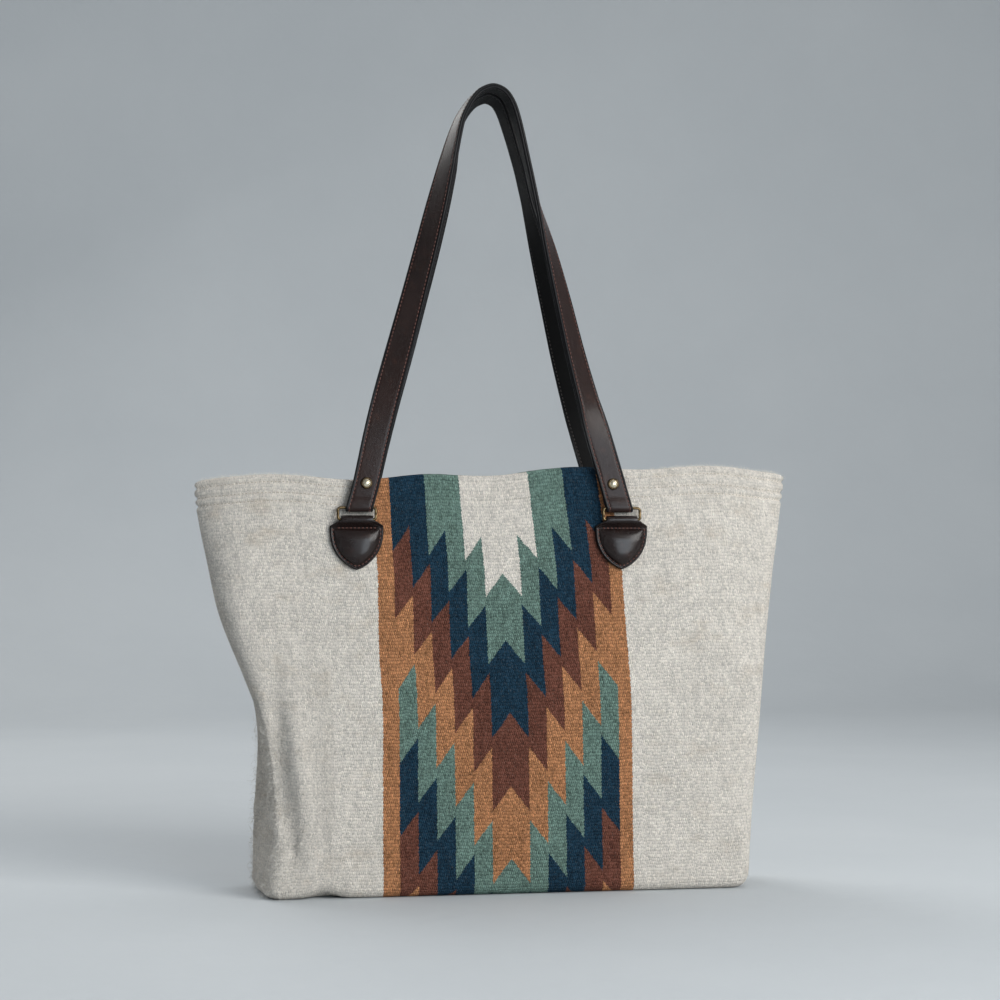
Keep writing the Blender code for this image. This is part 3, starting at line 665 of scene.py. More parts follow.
def wool_hairs(body):
    """Loose hairs of the cream wool, longest on the worn left corner and along the rim."""
    pick = np.random.RandomState(11)
    places = read_vectors(body.data.vertices, "co")
    normals = read_vectors(body.data.vertices, "normal")
    cloth = read_vectors(body.data.attributes["cloth"].data, "vector")
    half = PANEL_COLUMNS * PANEL_COLUMN + PANEL_LEFT_BORDER + 0.002
    plain = (abs(cloth[:, 0]) > half) & (cloth[:, 1] > -0.006) & (places[:, 2] > 0.002)
    plain &= near_tab(places[:, 0], places[:, 2]) < 0.5
    corner = plain & (places[:, 0] < -0.165) & (places[:, 2] < 0.13)
    rim = plain & (cloth[:, 1] < 0.004)
    points, faces = [], []
    groups = ((plain, 5200, 0.0012, 0.0034, 0.00007), (corner, 2400, 0.0025, 0.0085, 0.00012),
              (rim, 2200, 0.0015, 0.0042, 0.00008))
    for chosen, number, shortest, longest, girth in groups:
        near = np.flatnonzero(chosen)
        for index in pick.choice(near, number):
            root = Vector(places[index]) + Vector(pick.uniform(-0.0008, 0.0008, 3))
            out = Vector(normals[index])
            lean = Vector(pick.normal(0.0, 1.0, 3))
            lean = (lean - out * lean.dot(out)).normalized()
            rise, length = pick.uniform(0.15, 0.75), pick.uniform(shortest, longest)
            curl = lean.cross(out) * pick.uniform(-0.5, 0.5)
            side = lean.cross(out).lerp(out, pick.uniform(0.0, 0.8)).normalized()
            base = len(points)
            for i in range(HAIR_SEGMENTS + 1):
                share = i / HAIR_SEGMENTS
                spot = (root - out * HAIR_ROOT + lean * (length * share)
                        + out * (length * rise * math.sin(2.2 * share))
                        + curl * (length * share * share))
                spot.z = max(spot.z, HAIR_LOWEST)
                width = girth * (1 - 0.75 * share)
                points += [spot - side * width, spot + side * width]
            for i in range(HAIR_SEGMENTS):
                a = base + 2 * i
                faces.append((a, a + 1, a + 3, a + 2))
    obj = make_piece("wool_hairs", points, faces, [HAIR])
    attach(obj, "bag")


def lining():
    """The cotton lining: over the base, then up the wall to under the hem."""
    rings, us, vs = [], [], []
    inset = CLOTH + GAP + LINING
    for share in (0.0, 0.3, 0.65, 1.0):
        flat, _ = loop(0.0, inset, BASE_ROUND * 0.55)
        flat[:, 1] *= share
        flat[:, 2] = inset
        flat[:, 0] *= blend(0.90, 1.0, share)
        rings.append(flat)
        us.append(flat[:, 0].copy())
        vs.append(HEIGHT + 0.04 - abs(flat[:, 1]))
    rows = 70
    top = HEIGHT - HEM_DEPTH + 0.006
    for i in range(rows + 1):
        z = blend(BASE_ROUND, top, i / rows)
        points, u = loop(z, inset)
        for j, p in enumerate(points):
            side = 1.0 if p[1] < 0 else -1.0
            sag = noise.noise(Vector((u[j] / 0.05, z / 0.09, side * 5.3)))
            pull = 0.0022 * max(0.0, sag) * (1 - (i / rows) ** 4) * math.sin(math.pi * i / rows)
            p[1] *= 1 - pull / max(abs(p[1]), 0.004)
        rings.append(points)
        us.append(u)
        vs.append(np.full(len(u), HEIGHT - z))
    count = len(rings[0])
    u, v = np.concatenate(us), np.concatenate(vs)
    places = np.stack([u, v, np.zeros_like(v)], axis=1)
    obj = make_piece("bag_lining", np.concatenate(rings), loft_faces(count, len(rings)), [COTTON],
                     cloth=places)
    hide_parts("lining")
    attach(obj, "bag")
    return obj


# stitches: short capsules of thread laid along a path

STITCH_SIDES = 6
STITCH_STATIONS = ((-1.0, 0.35), (-0.8, 0.85), (-0.35, 1.0), (0.35, 1.0), (0.8, 0.85), (1.0, 0.35))
STITCH_LAST = (len(STITCH_STATIONS) - 1) * STITCH_SIDES
STITCH_FACES = loft_faces(STITCH_SIDES, len(STITCH_STATIONS)) + [
    tuple(range(STITCH_SIDES)),
    tuple(STITCH_LAST + i for i in reversed(range(STITCH_SIDES)))]

# half of a stitch's length, width and height, and the pitch of a row
HEM_STITCH, HEM_PITCH = (0.00090, 0.00022, 0.00018), 0.0030
TAB_STITCH = (0.00100, 0.00042, 0.00040)
STRAP_STITCH = (0.00105, 0.00040, 0.00036)
LEATHER_PITCH = 0.0031


def stitch_mesh(stitches, half_length, half_girth, half_height):
    """stitches: (place, along, out) for each; the ends dip into the leather or cloth."""
    points, faces = [], []
    for place, along, out in stitches:
        along = Vector(along).normalized()
        out = Vector(out).normalized()
        side = along.cross(out).normalized()
        base = len(points)
        for share, girth in STITCH_STATIONS:
            dip = -half_height * 1.1 * share * share
            for i in range(STITCH_SIDES):
                turn = 2 * math.pi * i / STITCH_SIDES
                points.append(Vector(place) + along * (share * half_length)
                              + side * (half_girth * girth * math.cos(turn))
                              + out * (half_height * girth * math.sin(turn) + dip))
        faces += [tuple(base + corner for corner in face) for face in STITCH_FACES]
    return points, faces


def hem_stitches(body):
    """Rows of running stitches round the hem, in thread that matches the cloth under them."""
    graph = bpy.context.evaluated_depsgraph_get()
    graph.update()
    made, cloth = [], []
    for row, depth in enumerate(HEM_ROWS):
        z = HEIGHT - depth
        points, u = loop(z, 0.0)
        ring = np.vstack([points, points[:1]])
        ring_u = np.append(u, u[0])
        steps = np.linalg.norm(np.diff(ring, axis=0), axis=1)
        along = np.concatenate([[0.0], np.cumsum(steps)])
        count = int(along[-1] / HEM_PITCH)
        for i in range(count):
            at = (i + 0.5 * (row % 2)) * along[-1] / count
            spot = Vector([np.interp(at, along, ring[:, k]) for k in range(3)])
            next_ = Vector([np.interp(at + 0.001, along, ring[:, k]) for k in range(3)])
            ahead = (next_ - spot).normalized()
            outward = ahead.cross(Vector((0, 0, 1))).normalized()
            if outward.dot(Vector((spot.x, spot.y * 6, 0))) < 0:
                outward = -outward
            hit, at_point, normal, _ = body.ray_cast(spot + outward * 0.006, -outward,
                                                     distance=0.014)
            if hit:
                made.append((at_point + normal * 0.00005, ahead, normal))
                cloth.append((np.interp(at, along, ring_u), depth))
    points, faces = stitch_mesh(made, *HEM_STITCH)
    cloth = cloth_places(*np.array(cloth).T)
    half = PANEL_COLUMNS * PANEL_COLUMN + PANEL_LEFT_BORDER
    tan = np.repeat(abs(cloth[:, 0]) > half, len(faces) // len(made))
    obj = make_piece("hem_stitches", points, faces, [WOOL, TAN_THREAD], slots=tan,
                     cloth=np.repeat(cloth, len(points) // len(made), axis=0))
    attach(obj, "bag")


# the front wall's own directions, and the bars of the rings

WALL_SLOPE = math.atan((BASE_HALF_DEPTH - RIM_HALF_DEPTH) / HEIGHT)
UP = Vector((0.0, math.sin(WALL_SLOPE), math.cos(WALL_SLOPE)))
OUT = Vector((0.0, -math.cos(WALL_SLOPE), math.sin(WALL_SLOPE)))
LOW_BAR = Vector((0.0, -half_depth(RING_LOW_Z), RING_LOW_Z)) + OUT * HINGE_OFF_WALL
TOP_BAR = LOW_BAR + UP * RING_HEIGHT
SIDES = {"left": -1.0, "right": 1.0}
PLACES = ("front", "back")


def ring_centre_x(side, place):
    moved = BACK_LEFT_IN if (place, side) == ("back", "left") else 0.0
    return HANDLE_CENTRE_X + SIDES[side] * RING_SPACING / 2 + moved


def on_wall(centre_x, across, up, out):
    return LOW_BAR + Vector((centre_x + across, 0.0, 0.0)) + UP * up + OUT * out


def placed(place, name, points, faces, materials, body, nodes=(), slots=None):
    """Makes the front piece, or its mirror image for the back, and says what it rides on."""
    points = [Vector(p) for p in points]
    if place == "back":
        points = [Vector((p.x, -p.y, p.z)) for p in points]
        faces = [tuple(reversed(f)) for f in faces]
    obj = make_piece(place + "_" + name, points, faces, materials, slots=slots)
    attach(obj, body)
    if nodes:
        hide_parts(*nodes)


def tube(path, radius, sides):
    """A closed round tube along a path of points that lie in one plane."""
    count = len(path)
    middle = sum(path, Vector()) / count
    normal = Vector()
    for i in range(count):
        normal += (path[i] - middle).cross(path[(i + 1) % count] - middle)
    normal.normalize()
    points = []
    for i in range(count):
        ahead = (path[(i + 1) % count] - path[i - 1]).normalized()
        side = normal.cross(ahead).normalized()
        for j in range(sides):
            turn = 2 * math.pi * j / sides
            points.append(path[i] + side * (radius * math.cos(turn))
                          + normal * (radius * math.sin(turn)))
    faces = loft_faces(sides, count)
    last = (count - 1) * sides
    for j in range(sides):
        k = (j + 1) % sides
        faces.append((last + j, last + k, k, j))
    return points, [tuple(reversed(f)) for f in faces]


def ring(place, side):
    """A rectangular wire ring: its lower bar lies in the tab, its upper one in the strap."""
    half_x, half_z = RING_WIDTH / 2, RING_HEIGHT / 2
    path = []
    corner_steps = 10
    for corner_x, corner_z, first in ((1, 1, 0), (-1, 1, 90), (-1, -1, 180), (1, -1, 270)):
        for i in range(corner_steps + 1):
            turn = math.radians(first + 90 * i / corner_steps)
            across = corner_x * (half_x - RING_CORNER_R) + RING_CORNER_R * math.cos(turn)
            up = half_z + corner_z * (half_z - RING_CORNER_R) + RING_CORNER_R * math.sin(turn)
            path.append(on_wall(ring_centre_x(side, place), across, up, 0.0))
    points, faces = tube(path, RING_WIRE_R, 14)
    placed(place, "brass_ring_" + side, points, faces, [BRASS], place + "_rings",
           [place + "_ring_" + side])


# the tabs

NECK_CURVE = ((0.0, 0.0), (0.17, 0.13), (0.46, 0.44), (0.89, 0.83), (1.0, 1.0))


def shield(part):
    """The shield's width, as a share of its widest, at a share of its way down."""
    return (1 - part ** 2.6) ** 0.75


def tab_half_width(down):
    """Half of the tab's width at a distance below the lower bar."""
    neck, half = TAB_NECK / 2, TAB_WIDTH / 2
    if down <= 0:
        return neck
    if down < TAB_SHOULDER:
        across, depth = zip(*NECK_CURVE)
        return blend(neck, half, float(np.interp(down / TAB_SHOULDER, depth, across)))
    part = min((down - TAB_SHOULDER) / (TAB_DROP - TAB_SHOULDER), 1.0)
    return half * shield(part)


def tab_slope(down):
    """How much longer a step across is than a step square to the outline, at that height."""
    half = tab_half_width(down)
    ahead = tab_half_width(min(down + 0.0005, TAB_DROP))
    return math.hypot(1.0, (half - ahead) / 0.0005)


STITCH_ROW = TAB_SHOULDER + 0.0012
PAD_TOP = TAB_SHOULDER + 0.0021
PAD_IN = 0.0030
PAD_RUN = 0.0105
GROOVE, GROOVE_IN = 0.0006, 0.0023
TAB_CROWN = 0.0005
TAB_EDGE_ROUND = 0.0012


def rounded(share):
    share = min(max(share, 0.0), 1.0)
    return (1 - (1 - share) ** 2.2) ** 0.6


def tab_height(across, down):
    """The front surface's height above the tab's back."""
    slope = tab_slope(down)
    half = tab_half_width(down)
    edge = max(0.0, half - abs(across)) / slope
    groove = GROOVE * math.exp(-((edge - GROOVE_IN) / GROOVE) ** 2)
    if down > STITCH_ROW - 0.002:
        groove = max(groove, GROOVE * math.exp(-((down - STITCH_ROW) / GROOVE) ** 2))
    pad, inner = 0.0, half - PAD_IN * slope
    if down > PAD_TOP and inner > abs(across):
        dome = (1 - (abs(across) / inner) ** 2.8) ** 0.6
        pad = TAB_PAD * dome * rounded((down - PAD_TOP) / PAD_RUN)
        pad *= rounded((TAB_DROP - PAD_IN * 1.1 - down) / PAD_RUN)
    return TAB_FLANGE + pad - groove


def tab(place, side):
    """A leather tab: folded over the ring's lower bar, then down the wall as a padded shield."""
    centre = ring_centre_x(side, place)
    back = -HINGE_OFF_WALL + GAP
    outer_r = HOLE_R + LEATHER
    columns = np.sin(np.linspace(-math.pi / 2, math.pi / 2, 61))
    rows = []
    # the fold, from under the bar behind, up and over to the front
    for degrees in np.linspace(235, -12, 22):
        turn = math.radians(degrees)
        outer, inner = [], []
        for c in columns:
            across = TAB_NECK / 2 * c
            r = outer_r - TAB_CROWN + TAB_CROWN * (1 - abs(c) ** 6)
            outer.append(on_wall(centre, across, r * math.sin(turn), r * math.cos(turn)))
            inner.append(on_wall(centre, across, HOLE_R * math.sin(turn),
                                 HOLE_R * math.cos(turn)))
        rows.append(outer + inner)
    # down the front to the tip
    start_down = outer_r * math.sin(math.radians(12))
    start_out = outer_r * math.cos(math.radians(12))
    downs = list(np.linspace(start_down + 0.0004, TAB_SHOULDER, 7))
    downs += list(np.linspace(TAB_SHOULDER + 0.0005, PAD_TOP + 0.002, 9))
    part = np.sin(np.linspace(0.0, math.pi / 2, 34)[1:])
    downs += list(PAD_TOP + 0.002 + (TAB_DROP - 0.00004 - PAD_TOP - 0.002) * part)
    for down in downs:
        half, slope = tab_half_width(down), tab_slope(down)
        slide = step(start_down, STITCH_ROW, down)
        outer, inner = [], []
        for c in columns:
            across = half * c
            level = back + tab_height(across, down)
            level = blend(start_out, level, slide) if down < STITCH_ROW else level
            edge = min(max(0.0, half - abs(across)) / slope, TAB_EDGE_ROUND) / TAB_EDGE_ROUND
            soft = TAB_EDGE_ROUND * (1 - math.sqrt(1 - (1 - edge) ** 2))
            outer.append(on_wall(centre, across, -down, level - soft))
            low = back if down > 0.0024 else blend(HOLE_R, back, down / 0.0024)
            inner.append(on_wall(centre, across, -down, min(low, level - 0.001)))
        rows.append(outer + inner)
    # the face is leather, and its edge and back are painted
    count = len(columns)
    faces, slots = [], []
    for r in range(len(rows) - 1):
        a, b = r * 2 * count, (r + 1) * 2 * count
        for i in range(count - 1):
            face = (a + i, b + i, b + i + 1, a + i + 1)
            faces += [face, tuple(count + corner for corner in reversed(face))]
            slots += [int(i < 5 or i > count - 7 or r > len(rows) - 5), 1]
        e = count - 1
        faces += [(a, a + count, b + count, b), (a + e, b + e, b + count + e, a + count + e)]
        slots += [1, 1]
    for r in (0, len(rows) - 1):
        a = r * 2 * count
        for i in range(count - 1):
            face = (a + i, a + i + 1, a + count + i + 1, a + count + i)
            faces.append(face if r == 0 else tuple(reversed(face)))
            slots.append(1)
    placed(place, "leather_tab_" + side, sum(rows, []), faces, [TAB_FACE, EDGE], "bag",
           [place + "_tab_" + side], slots)
    tab_stitches(place, side, centre, back)


def tab_stitches(place, side, centre, back):
    """A row across the shoulders and a row round the shield, in its groove."""
    half = TAB_WIDTH / 2 - GROOVE_IN
    drop = TAB_DROP - GROOVE_IN * 1.15
    path = [(half * shield(part), blend(STITCH_ROW, drop, part))
            for part in np.linspace(0.0, 1.0, 200)]
    path = [(-x, y) for x, y in path] + [(x, y) for x, y in reversed(path[:-1])]
    row = [(x, STITCH_ROW) for x in np.linspace(half - 0.003, -half + 0.003, 60)]
    made = []
    for line in (path, row):
        steps = [0.0]
        for a, b in zip(line, line[1:]):
            steps.append(steps[-1] + math.dist(a, b))
        count = round(steps[-1] / LEATHER_PITCH)
        for i in range(count):
            at = (i + 0.5) * steps[-1] / count
            spot, ahead, behind = [[np.interp(at + near, steps, [p[k] for p in line])
                                    for k in (0, 1)] for near in (0.0, 0.0003, -0.0003)]
            level = back + tab_height(spot[0], spot[1]) + 0.00022
            here = on_wall(centre, spot[0], -spot[1], level)
            along = (Vector((1, 0, 0)) * (ahead[0] - behind[0])
                     - UP * (ahead[1] - behind[1]))
            made.append((here, along, OUT))
    points, faces = stitch_mesh(made, *TAB_STITCH)
    placed(place, "tab_stitches_" + side, points, faces, [BROWN_THREAD], "bag")


# the straps, by the CAD source's path

HANDLE_RISE = 0.3266
LEFT_LEG = [(-0.002, -0.3100, 0), (0.061, -0.2923, 0), (0.157, -0.2707, 2), (0.249, -0.2480, 8),
            (0.369, -0.2142, 20), (0.487, -0.1813, 33), (0.608, -0.1487, 40), (0.727, -0.1180, 50),
            (0.848, -0.0873, 68), (0.916, -0.0673, 80), (0.951, -0.0501, 85), (0.976, -0.0323, 88),
            (0.991, -0.0144, 90)]
RIGHT_LEG = [(-0.002, 0.3097, 0), (0.064, 0.2922, 2), (0.157, 0.2652, 12), (0.254, 0.2372, 28),
             (0.369, 0.2068, 38), (0.493, 0.1779, 46), (0.613, 0.1490, 58), (0.730, 0.1186, 78),
             (0.841, 0.0919, 86), (0.900, 0.0783, 88), (0.948, 0.0645, 90), (0.977, 0.0507, 90),
             (0.993, 0.0347, 90)]
APEX = (1.0, 0.0111, 90)
APEX_Y = -(STRAP_WIDTH / 2 + GAP / 2)
FOLDED_SHARE = 0.10
TWISTED_SHARE = 0.25
STATION_STEPS = 14


def smooth_value(values, share):
    """A value on a Catmull-Rom curve through evenly numbered values."""
    share = min(max(share, 0.0), len(values) - 1.0)
    i = min(int(share), len(values) - 2)
    t = share - i
    before = values[max(i - 1, 0)]
    low, high = values[i], values[i + 1]
    after = values[min(i + 2, len(values) - 1)]
    return 0.5 * (2 * low + (high - before) * t + (2 * before - 5 * low + 4 * high - after) * t * t
                  + (3 * low - before - 3 * high + after) * t ** 3)


def nested(here, normal, on_left):
    """Where the back strap runs: nearer the middle on the left, and under the front one on top."""
    rise = (here.z - TOP_BAR.z) / HANDLE_RISE
    part = step(NEST_FROM, NEST_FULL, rise)
    if on_left:
        here = here + Vector((BACK_LEFT_IN * (1 - part), 0.0, 0.0))
    return here - normal * (NEST * part)


def strap_frames(place):
    """Points along the strap's middle, each with the directions of its width and outer face."""
    stations = LEFT_LEG + [APEX] + list(reversed(RIGHT_LEG))
    top = len(LEFT_LEG)
    highs, acrosses, turns = zip(*stations)
    apex_y = APEX_Y if place == "front" else APEX_Y - BACK_STANDS_OFF

    def path(share):
        high = smooth_value(highs, share)
        y = blend(TOP_BAR.y, apex_y, min(1.0, high))
        return Vector((HANDLE_CENTRE_X + HANDLE_RISE * smooth_value(acrosses, share), y,
                       TOP_BAR.z + HANDLE_RISE * high))

    frames = []
    for i in range((len(stations) - 1) * STATION_STEPS + 1):
        share = i / STATION_STEPS
        here = path(share)
        ahead = (path(share + 0.02) - path(share - 0.02)).normalized()
        most = 90.0 if place == "front" else BACK_MOST_TURN
        face_turn = math.radians(min(max(smooth_value(turns, share), 0.0), most))
        forward = Vector((0.0, -1.0, 0.0))
        forward = (forward - ahead * forward.dot(ahead)).normalized()
        outward = forward.cross(ahead)
        if (outward.z < 0 and abs(share - top) < 2) or outward.x * (share - top) < -1e-9:
            outward = -outward
        normal = (forward * math.cos(face_turn) + outward * math.sin(face_turn)).normalized()
        width = ahead.cross(normal).normalized()
        rise = (here.z - TOP_BAR.z) / HANDLE_RISE
        square = min(max((rise - FOLDED_SHARE) / (TWISTED_SHARE - FOLDED_SHARE), 0.0), 1.0)
        if square < 1.0:
            level = Vector((1.0 if width.x > 0 else -1.0, 0.0, 0.0))
            width = (level * (1 - square) + width * square).normalized()
            normal = (OUT * (1 - square) + normal * square).normalized()
        if frames and width.dot(frames[-1][1]) < 0:
            width = -width
        if place == "back":
            here = nested(here, normal, share < top)
        frames.append((here, width, normal))
    return frames, top * STATION_STEPS


def leg_point(frames, rise):
    """The strap's frame at a rise above the upper bar, on one leg."""
    for first, second in zip(frames, frames[1:]):
        if second[0].z - TOP_BAR.z >= rise:
            span = second[0].z - first[0].z
            part = (rise - (first[0].z - TOP_BAR.z)) / span
            return tuple(first[k].lerp(second[k], part) for k in range(3))
    return frames[-1]


def aligned(rows):
    """The same rows, with each width turned the way of the one before it."""
    for i in range(1, len(rows)):
        if rows[i][1].dot(rows[i - 1][1]) < 0:
            rows[i] = (rows[i][0], -rows[i][1], rows[i][2])
    return rows


PLY_OUT = LEATHER / 2 + GAP / 2
LOOP_R = HOLE_R + LEATHER / 2

# how far a ply stands from the bar's line, at each rise above the bar
SPREAD_RISE = (0.0, 0.0028, 0.0055, 0.0085)
SPREAD_OUT = (LOOP_R, LOOP_R - 0.0002, (PLY_OUT + LOOP_R) / 2 + 0.0001, PLY_OUT)


def folded_end(frames):
    """From the folded ply's end, down behind, round the bar and up in front: place, width, out."""
    rows = []

    def spread(first, last, out):
        for rise in np.linspace(first, last, 7):
            here, width, _ = leg_point(frames, rise)
            off = float(np.interp(rise, SPREAD_RISE, SPREAD_OUT))
            rows.append((here + out * off, width, out))

    for rise in np.linspace(FOLDED_END, SPREAD_RISE[-1], 12):
        here, width, normal = leg_point(frames, rise)
        rows.append((here - normal * PLY_OUT, width, -normal))
    spread(0.0078, 0.0014, -OUT)
    middle = Vector((frames[0][0].x, TOP_BAR.y, TOP_BAR.z))
    for degrees in np.linspace(180, 360, 25):
        turn = math.radians(degrees)
        out = OUT * math.cos(turn) + UP * math.sin(turn)
        rows.append((middle + out * LOOP_R, frames[0][1], out))
    spread(0.0014, 0.0078, OUT)
    return rows


PAINTED = 0.0011
SEAM_IN, SEAM_WIDTH = 0.0026, 0.0007
STRAP_CROWN = 0.00012


def ply_section(width, thick, groove, seam):
    """A leather ply's section: crowned face with stitch grooves, and a rounded painted edge.

    `seam` carries the square inner side on, so that two plies close up in one painted edge."""
    half, low, high = width / 2, -thick / 2 - seam, thick / 2
    face = []
    for x in np.linspace(-half + PAINTED, half - PAINTED, 29):
        dip = groove * sum(math.exp(-((x - sign * (half - SEAM_IN)) / SEAM_WIDTH) ** 2)
                           for sign in (-1, 1))
        crown = STRAP_CROWN * (1 - (x / half) ** 2)
        face.append((x, high - STRAP_CROWN + crown - dip))
    kinds = [1] + [0] * (len(face) - 3) + [1]
    deep = thick * 0.62
    right = [(half - PAINTED + PAINTED * math.sin(a), high - deep + deep * math.cos(a))
             for a in np.linspace(0.25, math.pi / 2, 6)]
    right += [(half, low), (half - PAINTED, low)]
    left = [(-x, y) for x, y in reversed(right)]
    kinds += [1] * len(right) + [2] + [1] * len(left)
    return face + right + left, kinds


def sweep(rows, section, kinds):
    """A strip with the same section at each row, its ends closed and painted."""
    points = [here + width * x + out * y for here, width, out in rows for x, y in section]
    count = len(section)
    faces = loft_faces(count, len(rows))
    faces += [tuple(reversed(range(count))), tuple(range(len(points) - count, len(points)))]
    if rows[0][1].cross(rows[0][2]).dot(rows[1][0] - rows[0][0]) < 0:
        faces = [tuple(reversed(face)) for face in faces]
    return points, faces, kinds * (len(rows) - 1) + [1, 1]


def stitch_line(rows, across, lift):
    """Stitches along a strip, a distance from its middle, seated in its groove."""
    line = [here + width * across + out * lift for here, width, out in rows]
    steps = [0.0]
    for a, b in zip(line, line[1:]):
        steps.append(steps[-1] + (b - a).length)
    count = int(steps[-1] / LEATHER_PITCH)
    made = []
    at_row = 0
    for i in range(count):
        at = (i + 0.5) * steps[-1] / count
        while steps[at_row + 1] < at:
            at_row += 1
        part = (at - steps[at_row]) / (steps[at_row + 1] - steps[at_row])
        spot = line[at_row].lerp(line[at_row + 1], part)
        out = rows[at_row][2].lerp(rows[at_row + 1][2], part)
        made.append((spot, line[at_row + 1] - line[at_row], out))
    return made


def strap(place):
    """One handle: the outer ply with its folded ends, the inner ply, stitches and rivets."""
    frames, top = strap_frames(place)
    left, right = frames[:top + 1], list(reversed(frames[top:]))
    start, end = folded_end(left), list(reversed(folded_end(right)))
    body = [(here + normal * PLY_OUT, width, normal) for here, width, normal in frames
            if here.z - TOP_BAR.z > SPREAD_RISE[-1]]
    outer = aligned(start + body + end)
    low = FOLDED_END + GAP
    inside = [leg_point(left, low)]
    inside += [f for f in frames if f[0].z - TOP_BAR.z > FOLDED_END + 0.001]
    inside += [leg_point(right, low)]
    drop = STRAP_LINING / 2 + GAP / 2
    inner = aligned([(here - normal * drop, width, -normal) for here, width, normal in inside])

    plies = ((outer, LEATHER, 0.00025, STRAP_FACE, "leather_strap", "_strap"),
             (inner, STRAP_LINING, 0.0002, STRAP_BACK, "strap_inner_leather", "_strap_lining"))
    for rows, thick, groove, leather_used, name, node in plies:
        section, kinds = ply_section(STRAP_WIDTH, thick, groove, GAP / 2)
        points, faces, slots = sweep(rows, section, kinds)
        placed(place, name, points, faces, [leather_used, EDGE, STRAP_BACK], place + "_handle",
               [place + node], slots)
    sewn = outer[len(start) - 20:len(outer) - len(end) + 20]
    seams = ((sewn, LEATHER, BROWN_THREAD, "strap_stitches"),
             (inner, STRAP_LINING, DARK_THREAD, "strap_inner_stitches"))
    for line, thick, thread_used, name in seams:
        made = []
        for sign in (-1, 1):
            made += stitch_line(line, sign * (STRAP_WIDTH / 2 - SEAM_IN), thick / 2 - 0.00005)
        points, faces = stitch_mesh(made, *STRAP_STITCH)
        placed(place, name, points, faces, [thread_used], place + "_handle")
    for side, leg in (("left", left), ("right", right)):
        rivet(place, side, leg_point(leg, RIVET_ABOVE_RING))


RIVET_STEPS = 40

# each rivet end's radii, as shares of the head's, with their heights, and its bands' slots
HEAD = ((0.04, 0.0021), (0.18, 0.00205), (0.34, 0.00185), (0.47, 0.0015), (0.55, 0.00115),
        (0.60, 0.00100), (0.67, 0.00108), (0.78, 0.00118), (0.88, 0.00105), (0.96, 0.00075),
        (1.0, 0.00040), (0.985, 0.0), (0.30, -0.0001))
HEAD_SLOTS = [0] * 5 + [1] * 7
CAP = ((0.04, 0.00095), (0.5, 0.0009), (0.72, 0.0007), (0.84, 0.0004), (0.85, 0.0),
       (0.3, -0.0001))
CAP_SLOTS = [0, 0, 1, 1, 1]


def turned(profile, kinds, spot, axis):
    """A round part from a profile of radius and height, its outer side run from top to bottom."""
    first = axis.orthogonal().normalized()
    second = axis.cross(first).normalized()
    points, faces, slots = [], [], []
    for r, h in profile:
        for i in range(RIVET_STEPS):
            turn = 2 * math.pi * i / RIVET_STEPS
            points.append(spot + axis * h + first * (r * math.cos(turn))
                          + second * (r * math.sin(turn)))
    for row in range(len(profile) - 1):
        a, b = row * RIVET_STEPS, (row + 1) * RIVET_STEPS
        for i in range(RIVET_STEPS):
            j = (i + 1) % RIVET_STEPS
            faces.append((a + i, b + i, b + j, a + j))
            slots.append(kinds[row])
    faces.append(tuple(range(RIVET_STEPS)))
    slots.append(kinds[0])
    faces.append(tuple(reversed(range((len(profile) - 1) * RIVET_STEPS,
                                      len(profile) * RIVET_STEPS))))
    slots.append(kinds[-1])
    return points, faces, slots


def rivet(place, side, at):
    """A rivet through both plies: a domed head in front and a flat cap behind."""
    here, _, normal = at
    front = 2 * PLY_OUT
    # the head's dome is coloured with the pale brass of a painted highlight
    ends = (("head", HEAD, HEAD_SLOTS, front, normal, BRASS_DOME_HIGHLIGHT, "_post"),
            ("cap", CAP, CAP_SLOTS, front + GAP, -normal, BRASS, "_cap"))
    for name, shape, kinds, lift, axis, metal, node in ends:
        profile = [(RIVET_HEAD_R * share, lift + height) for share, height in shape]
        points, faces, slots = turned(profile, kinds, here, axis)
        placed(place, "rivet_" + name + "_" + side, points, faces, [metal, BRASS_DARK],
               place + "_handle", [place + "_rivet_" + side + node], slots)


# the camera, floor and lights

SENSOR = 36.0
CAMERA_DISTANCE = 1.8
CAMERA_YAW = math.radians(10.0)
CAMERA_AIM = math.radians(10.085)
CAMERA_HEIGHT = 0.270
FOCAL_PIXELS = 2307.7
FRAME_PIXELS = 1000.0
HORIZON_PIXELS = 39.0


def camera():
    """The photo's camera: level with the bag's upper part, and a little to its left."""
    data = bpy.data.cameras.new("camera")
    data.sensor_width = SENSOR
    data.lens = FOCAL_PIXELS / FRAME_PIXELS * data.sensor_width
    obj = bpy.data.objects.new("camera", data)
    obj.location = (-CAMERA_DISTANCE * math.sin(CAMERA_YAW),
                    -CAMERA_DISTANCE * math.cos(CAMERA_YAW), CAMERA_HEIGHT)
    pitch = math.atan(HORIZON_PIXELS / FOCAL_PIXELS)
    obj.rotation_euler = Euler((math.pi / 2 + pitch, 0.0, -CAMERA_AIM))
    bpy.context.scene.collection.objects.link(obj)
    bpy.context.scene.camera = obj


def area_light(name, place, size, power, colour):
    data = bpy.data.lights.new(name, "AREA")
    data.shape = "RECTANGLE"
    data.size, data.size_y = size
    data.energy = power
    data.color = colour
    obj = bpy.data.objects.new(name, data)
    obj.location = place
    aim = Vector((0.0, 0.0, 0.25)) - Vector(place)
    obj.rotation_euler = aim.to_track_quat("-Z", "Y").to_euler()
    bpy.context.scene.collection.objects.link(obj)


FLOOR_FRONT, FLOOR_BACK, FLOOR_SIDE, FLOOR_TOP = -4.0, 2.6, 6.0, 5.0
FLOOR_BEND_R, FLOOR_BEND_STEPS, FLOOR_LOW = 0.9, 12, 0.0002
SKY, SKY_STRENGTH = (0.86, 0.92, 1.0, 1.0), 0.25

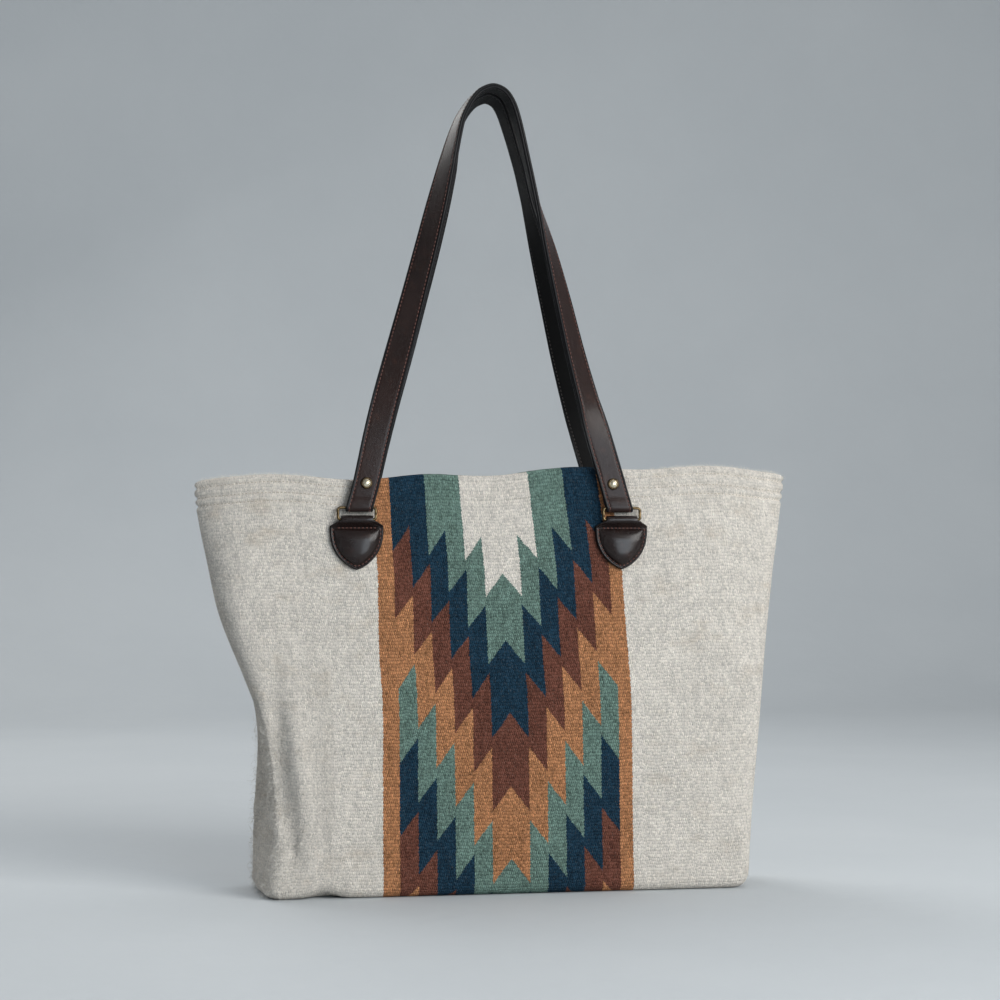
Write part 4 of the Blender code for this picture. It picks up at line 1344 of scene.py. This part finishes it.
# each lamp's name, place, size, power and colour
LAMPS = (("window", (1.7, -2.0, 1.3), (1.5, 1.5), 70.0, (1.0, 0.985, 0.96)),
         ("low_window", (0.75, -2.4, 0.70), (0.8, 0.9), 18.0, (0.80, 0.91, 1.0)),
         ("left_fill", (-2.1, -1.6, 1.3), (1.2, 1.4), 3.0, (0.92, 0.97, 1.0)),
         ("overhead", (0.2, 0.5, 2.4), (2.0, 1.4), 18.0, (0.96, 0.98, 1.0)),
         ("back_fill", (-0.8, 1.4, 1.7), (1.4, 1.2), 17.0, (1.0, 0.99, 0.97)))


def surroundings():
    """A plaster floor that bends up into a backdrop, a pale sky and the lamps."""
    n = Nodes("floor_plaster")
    place = n.place()
    cloud = n.noise(place, 0.35, 4.0, 0.6)
    colour = n.mix(cloud, linear(180, 185, 188), linear(192, 196, 198))
    n.finish(colour, 0.85, n.bump(n.noise(place, 0.02, 4.0), 0.0006))
    data = bpy.data.meshes.new("floor")
    profile = [(FLOOR_FRONT, 0.0), (FLOOR_BACK - FLOOR_BEND_R, 0.0)]
    for i in range(1, FLOOR_BEND_STEPS + 1):
        turn = math.pi / 2 * i / FLOOR_BEND_STEPS
        profile.append((FLOOR_BACK - FLOOR_BEND_R + FLOOR_BEND_R * math.sin(turn),
                        FLOOR_BEND_R - FLOOR_BEND_R * math.cos(turn)))
    profile.append((FLOOR_BACK, FLOOR_TOP))
    rows = [(x, y, z - FLOOR_LOW) for y, z in profile for x in (-FLOOR_SIDE, FLOOR_SIDE)]
    faces = [(2 * i, 2 * i + 1, 2 * i + 3, 2 * i + 2) for i in range(len(profile) - 1)]
    data.from_pydata(rows, [], faces)
    data.materials.append(n.material)
    for polygon in data.polygons:
        polygon.use_smooth = True
    obj = bpy.data.objects.new("floor", data)
    bpy.context.scene.collection.objects.link(obj)

    world = bpy.data.worlds.new("world")
    bpy.context.scene.world = world
    world.use_nodes = True
    back = world.node_tree.nodes["Background"]
    back.inputs["Color"].default_value = SKY
    back.inputs["Strength"].default_value = SKY_STRENGTH
    for lamp in LAMPS:
        area_light(*lamp)
    bpy.context.scene.view_settings.view_transform = "Standard"


camera()
surroundings()
body = wool_body()
inside = lining()
wool_hairs(body)
hem_stitches(body)
for place in PLACES:
    strap(place)
    for side in SIDES:
        ring(place, side)
        tab(place, side)
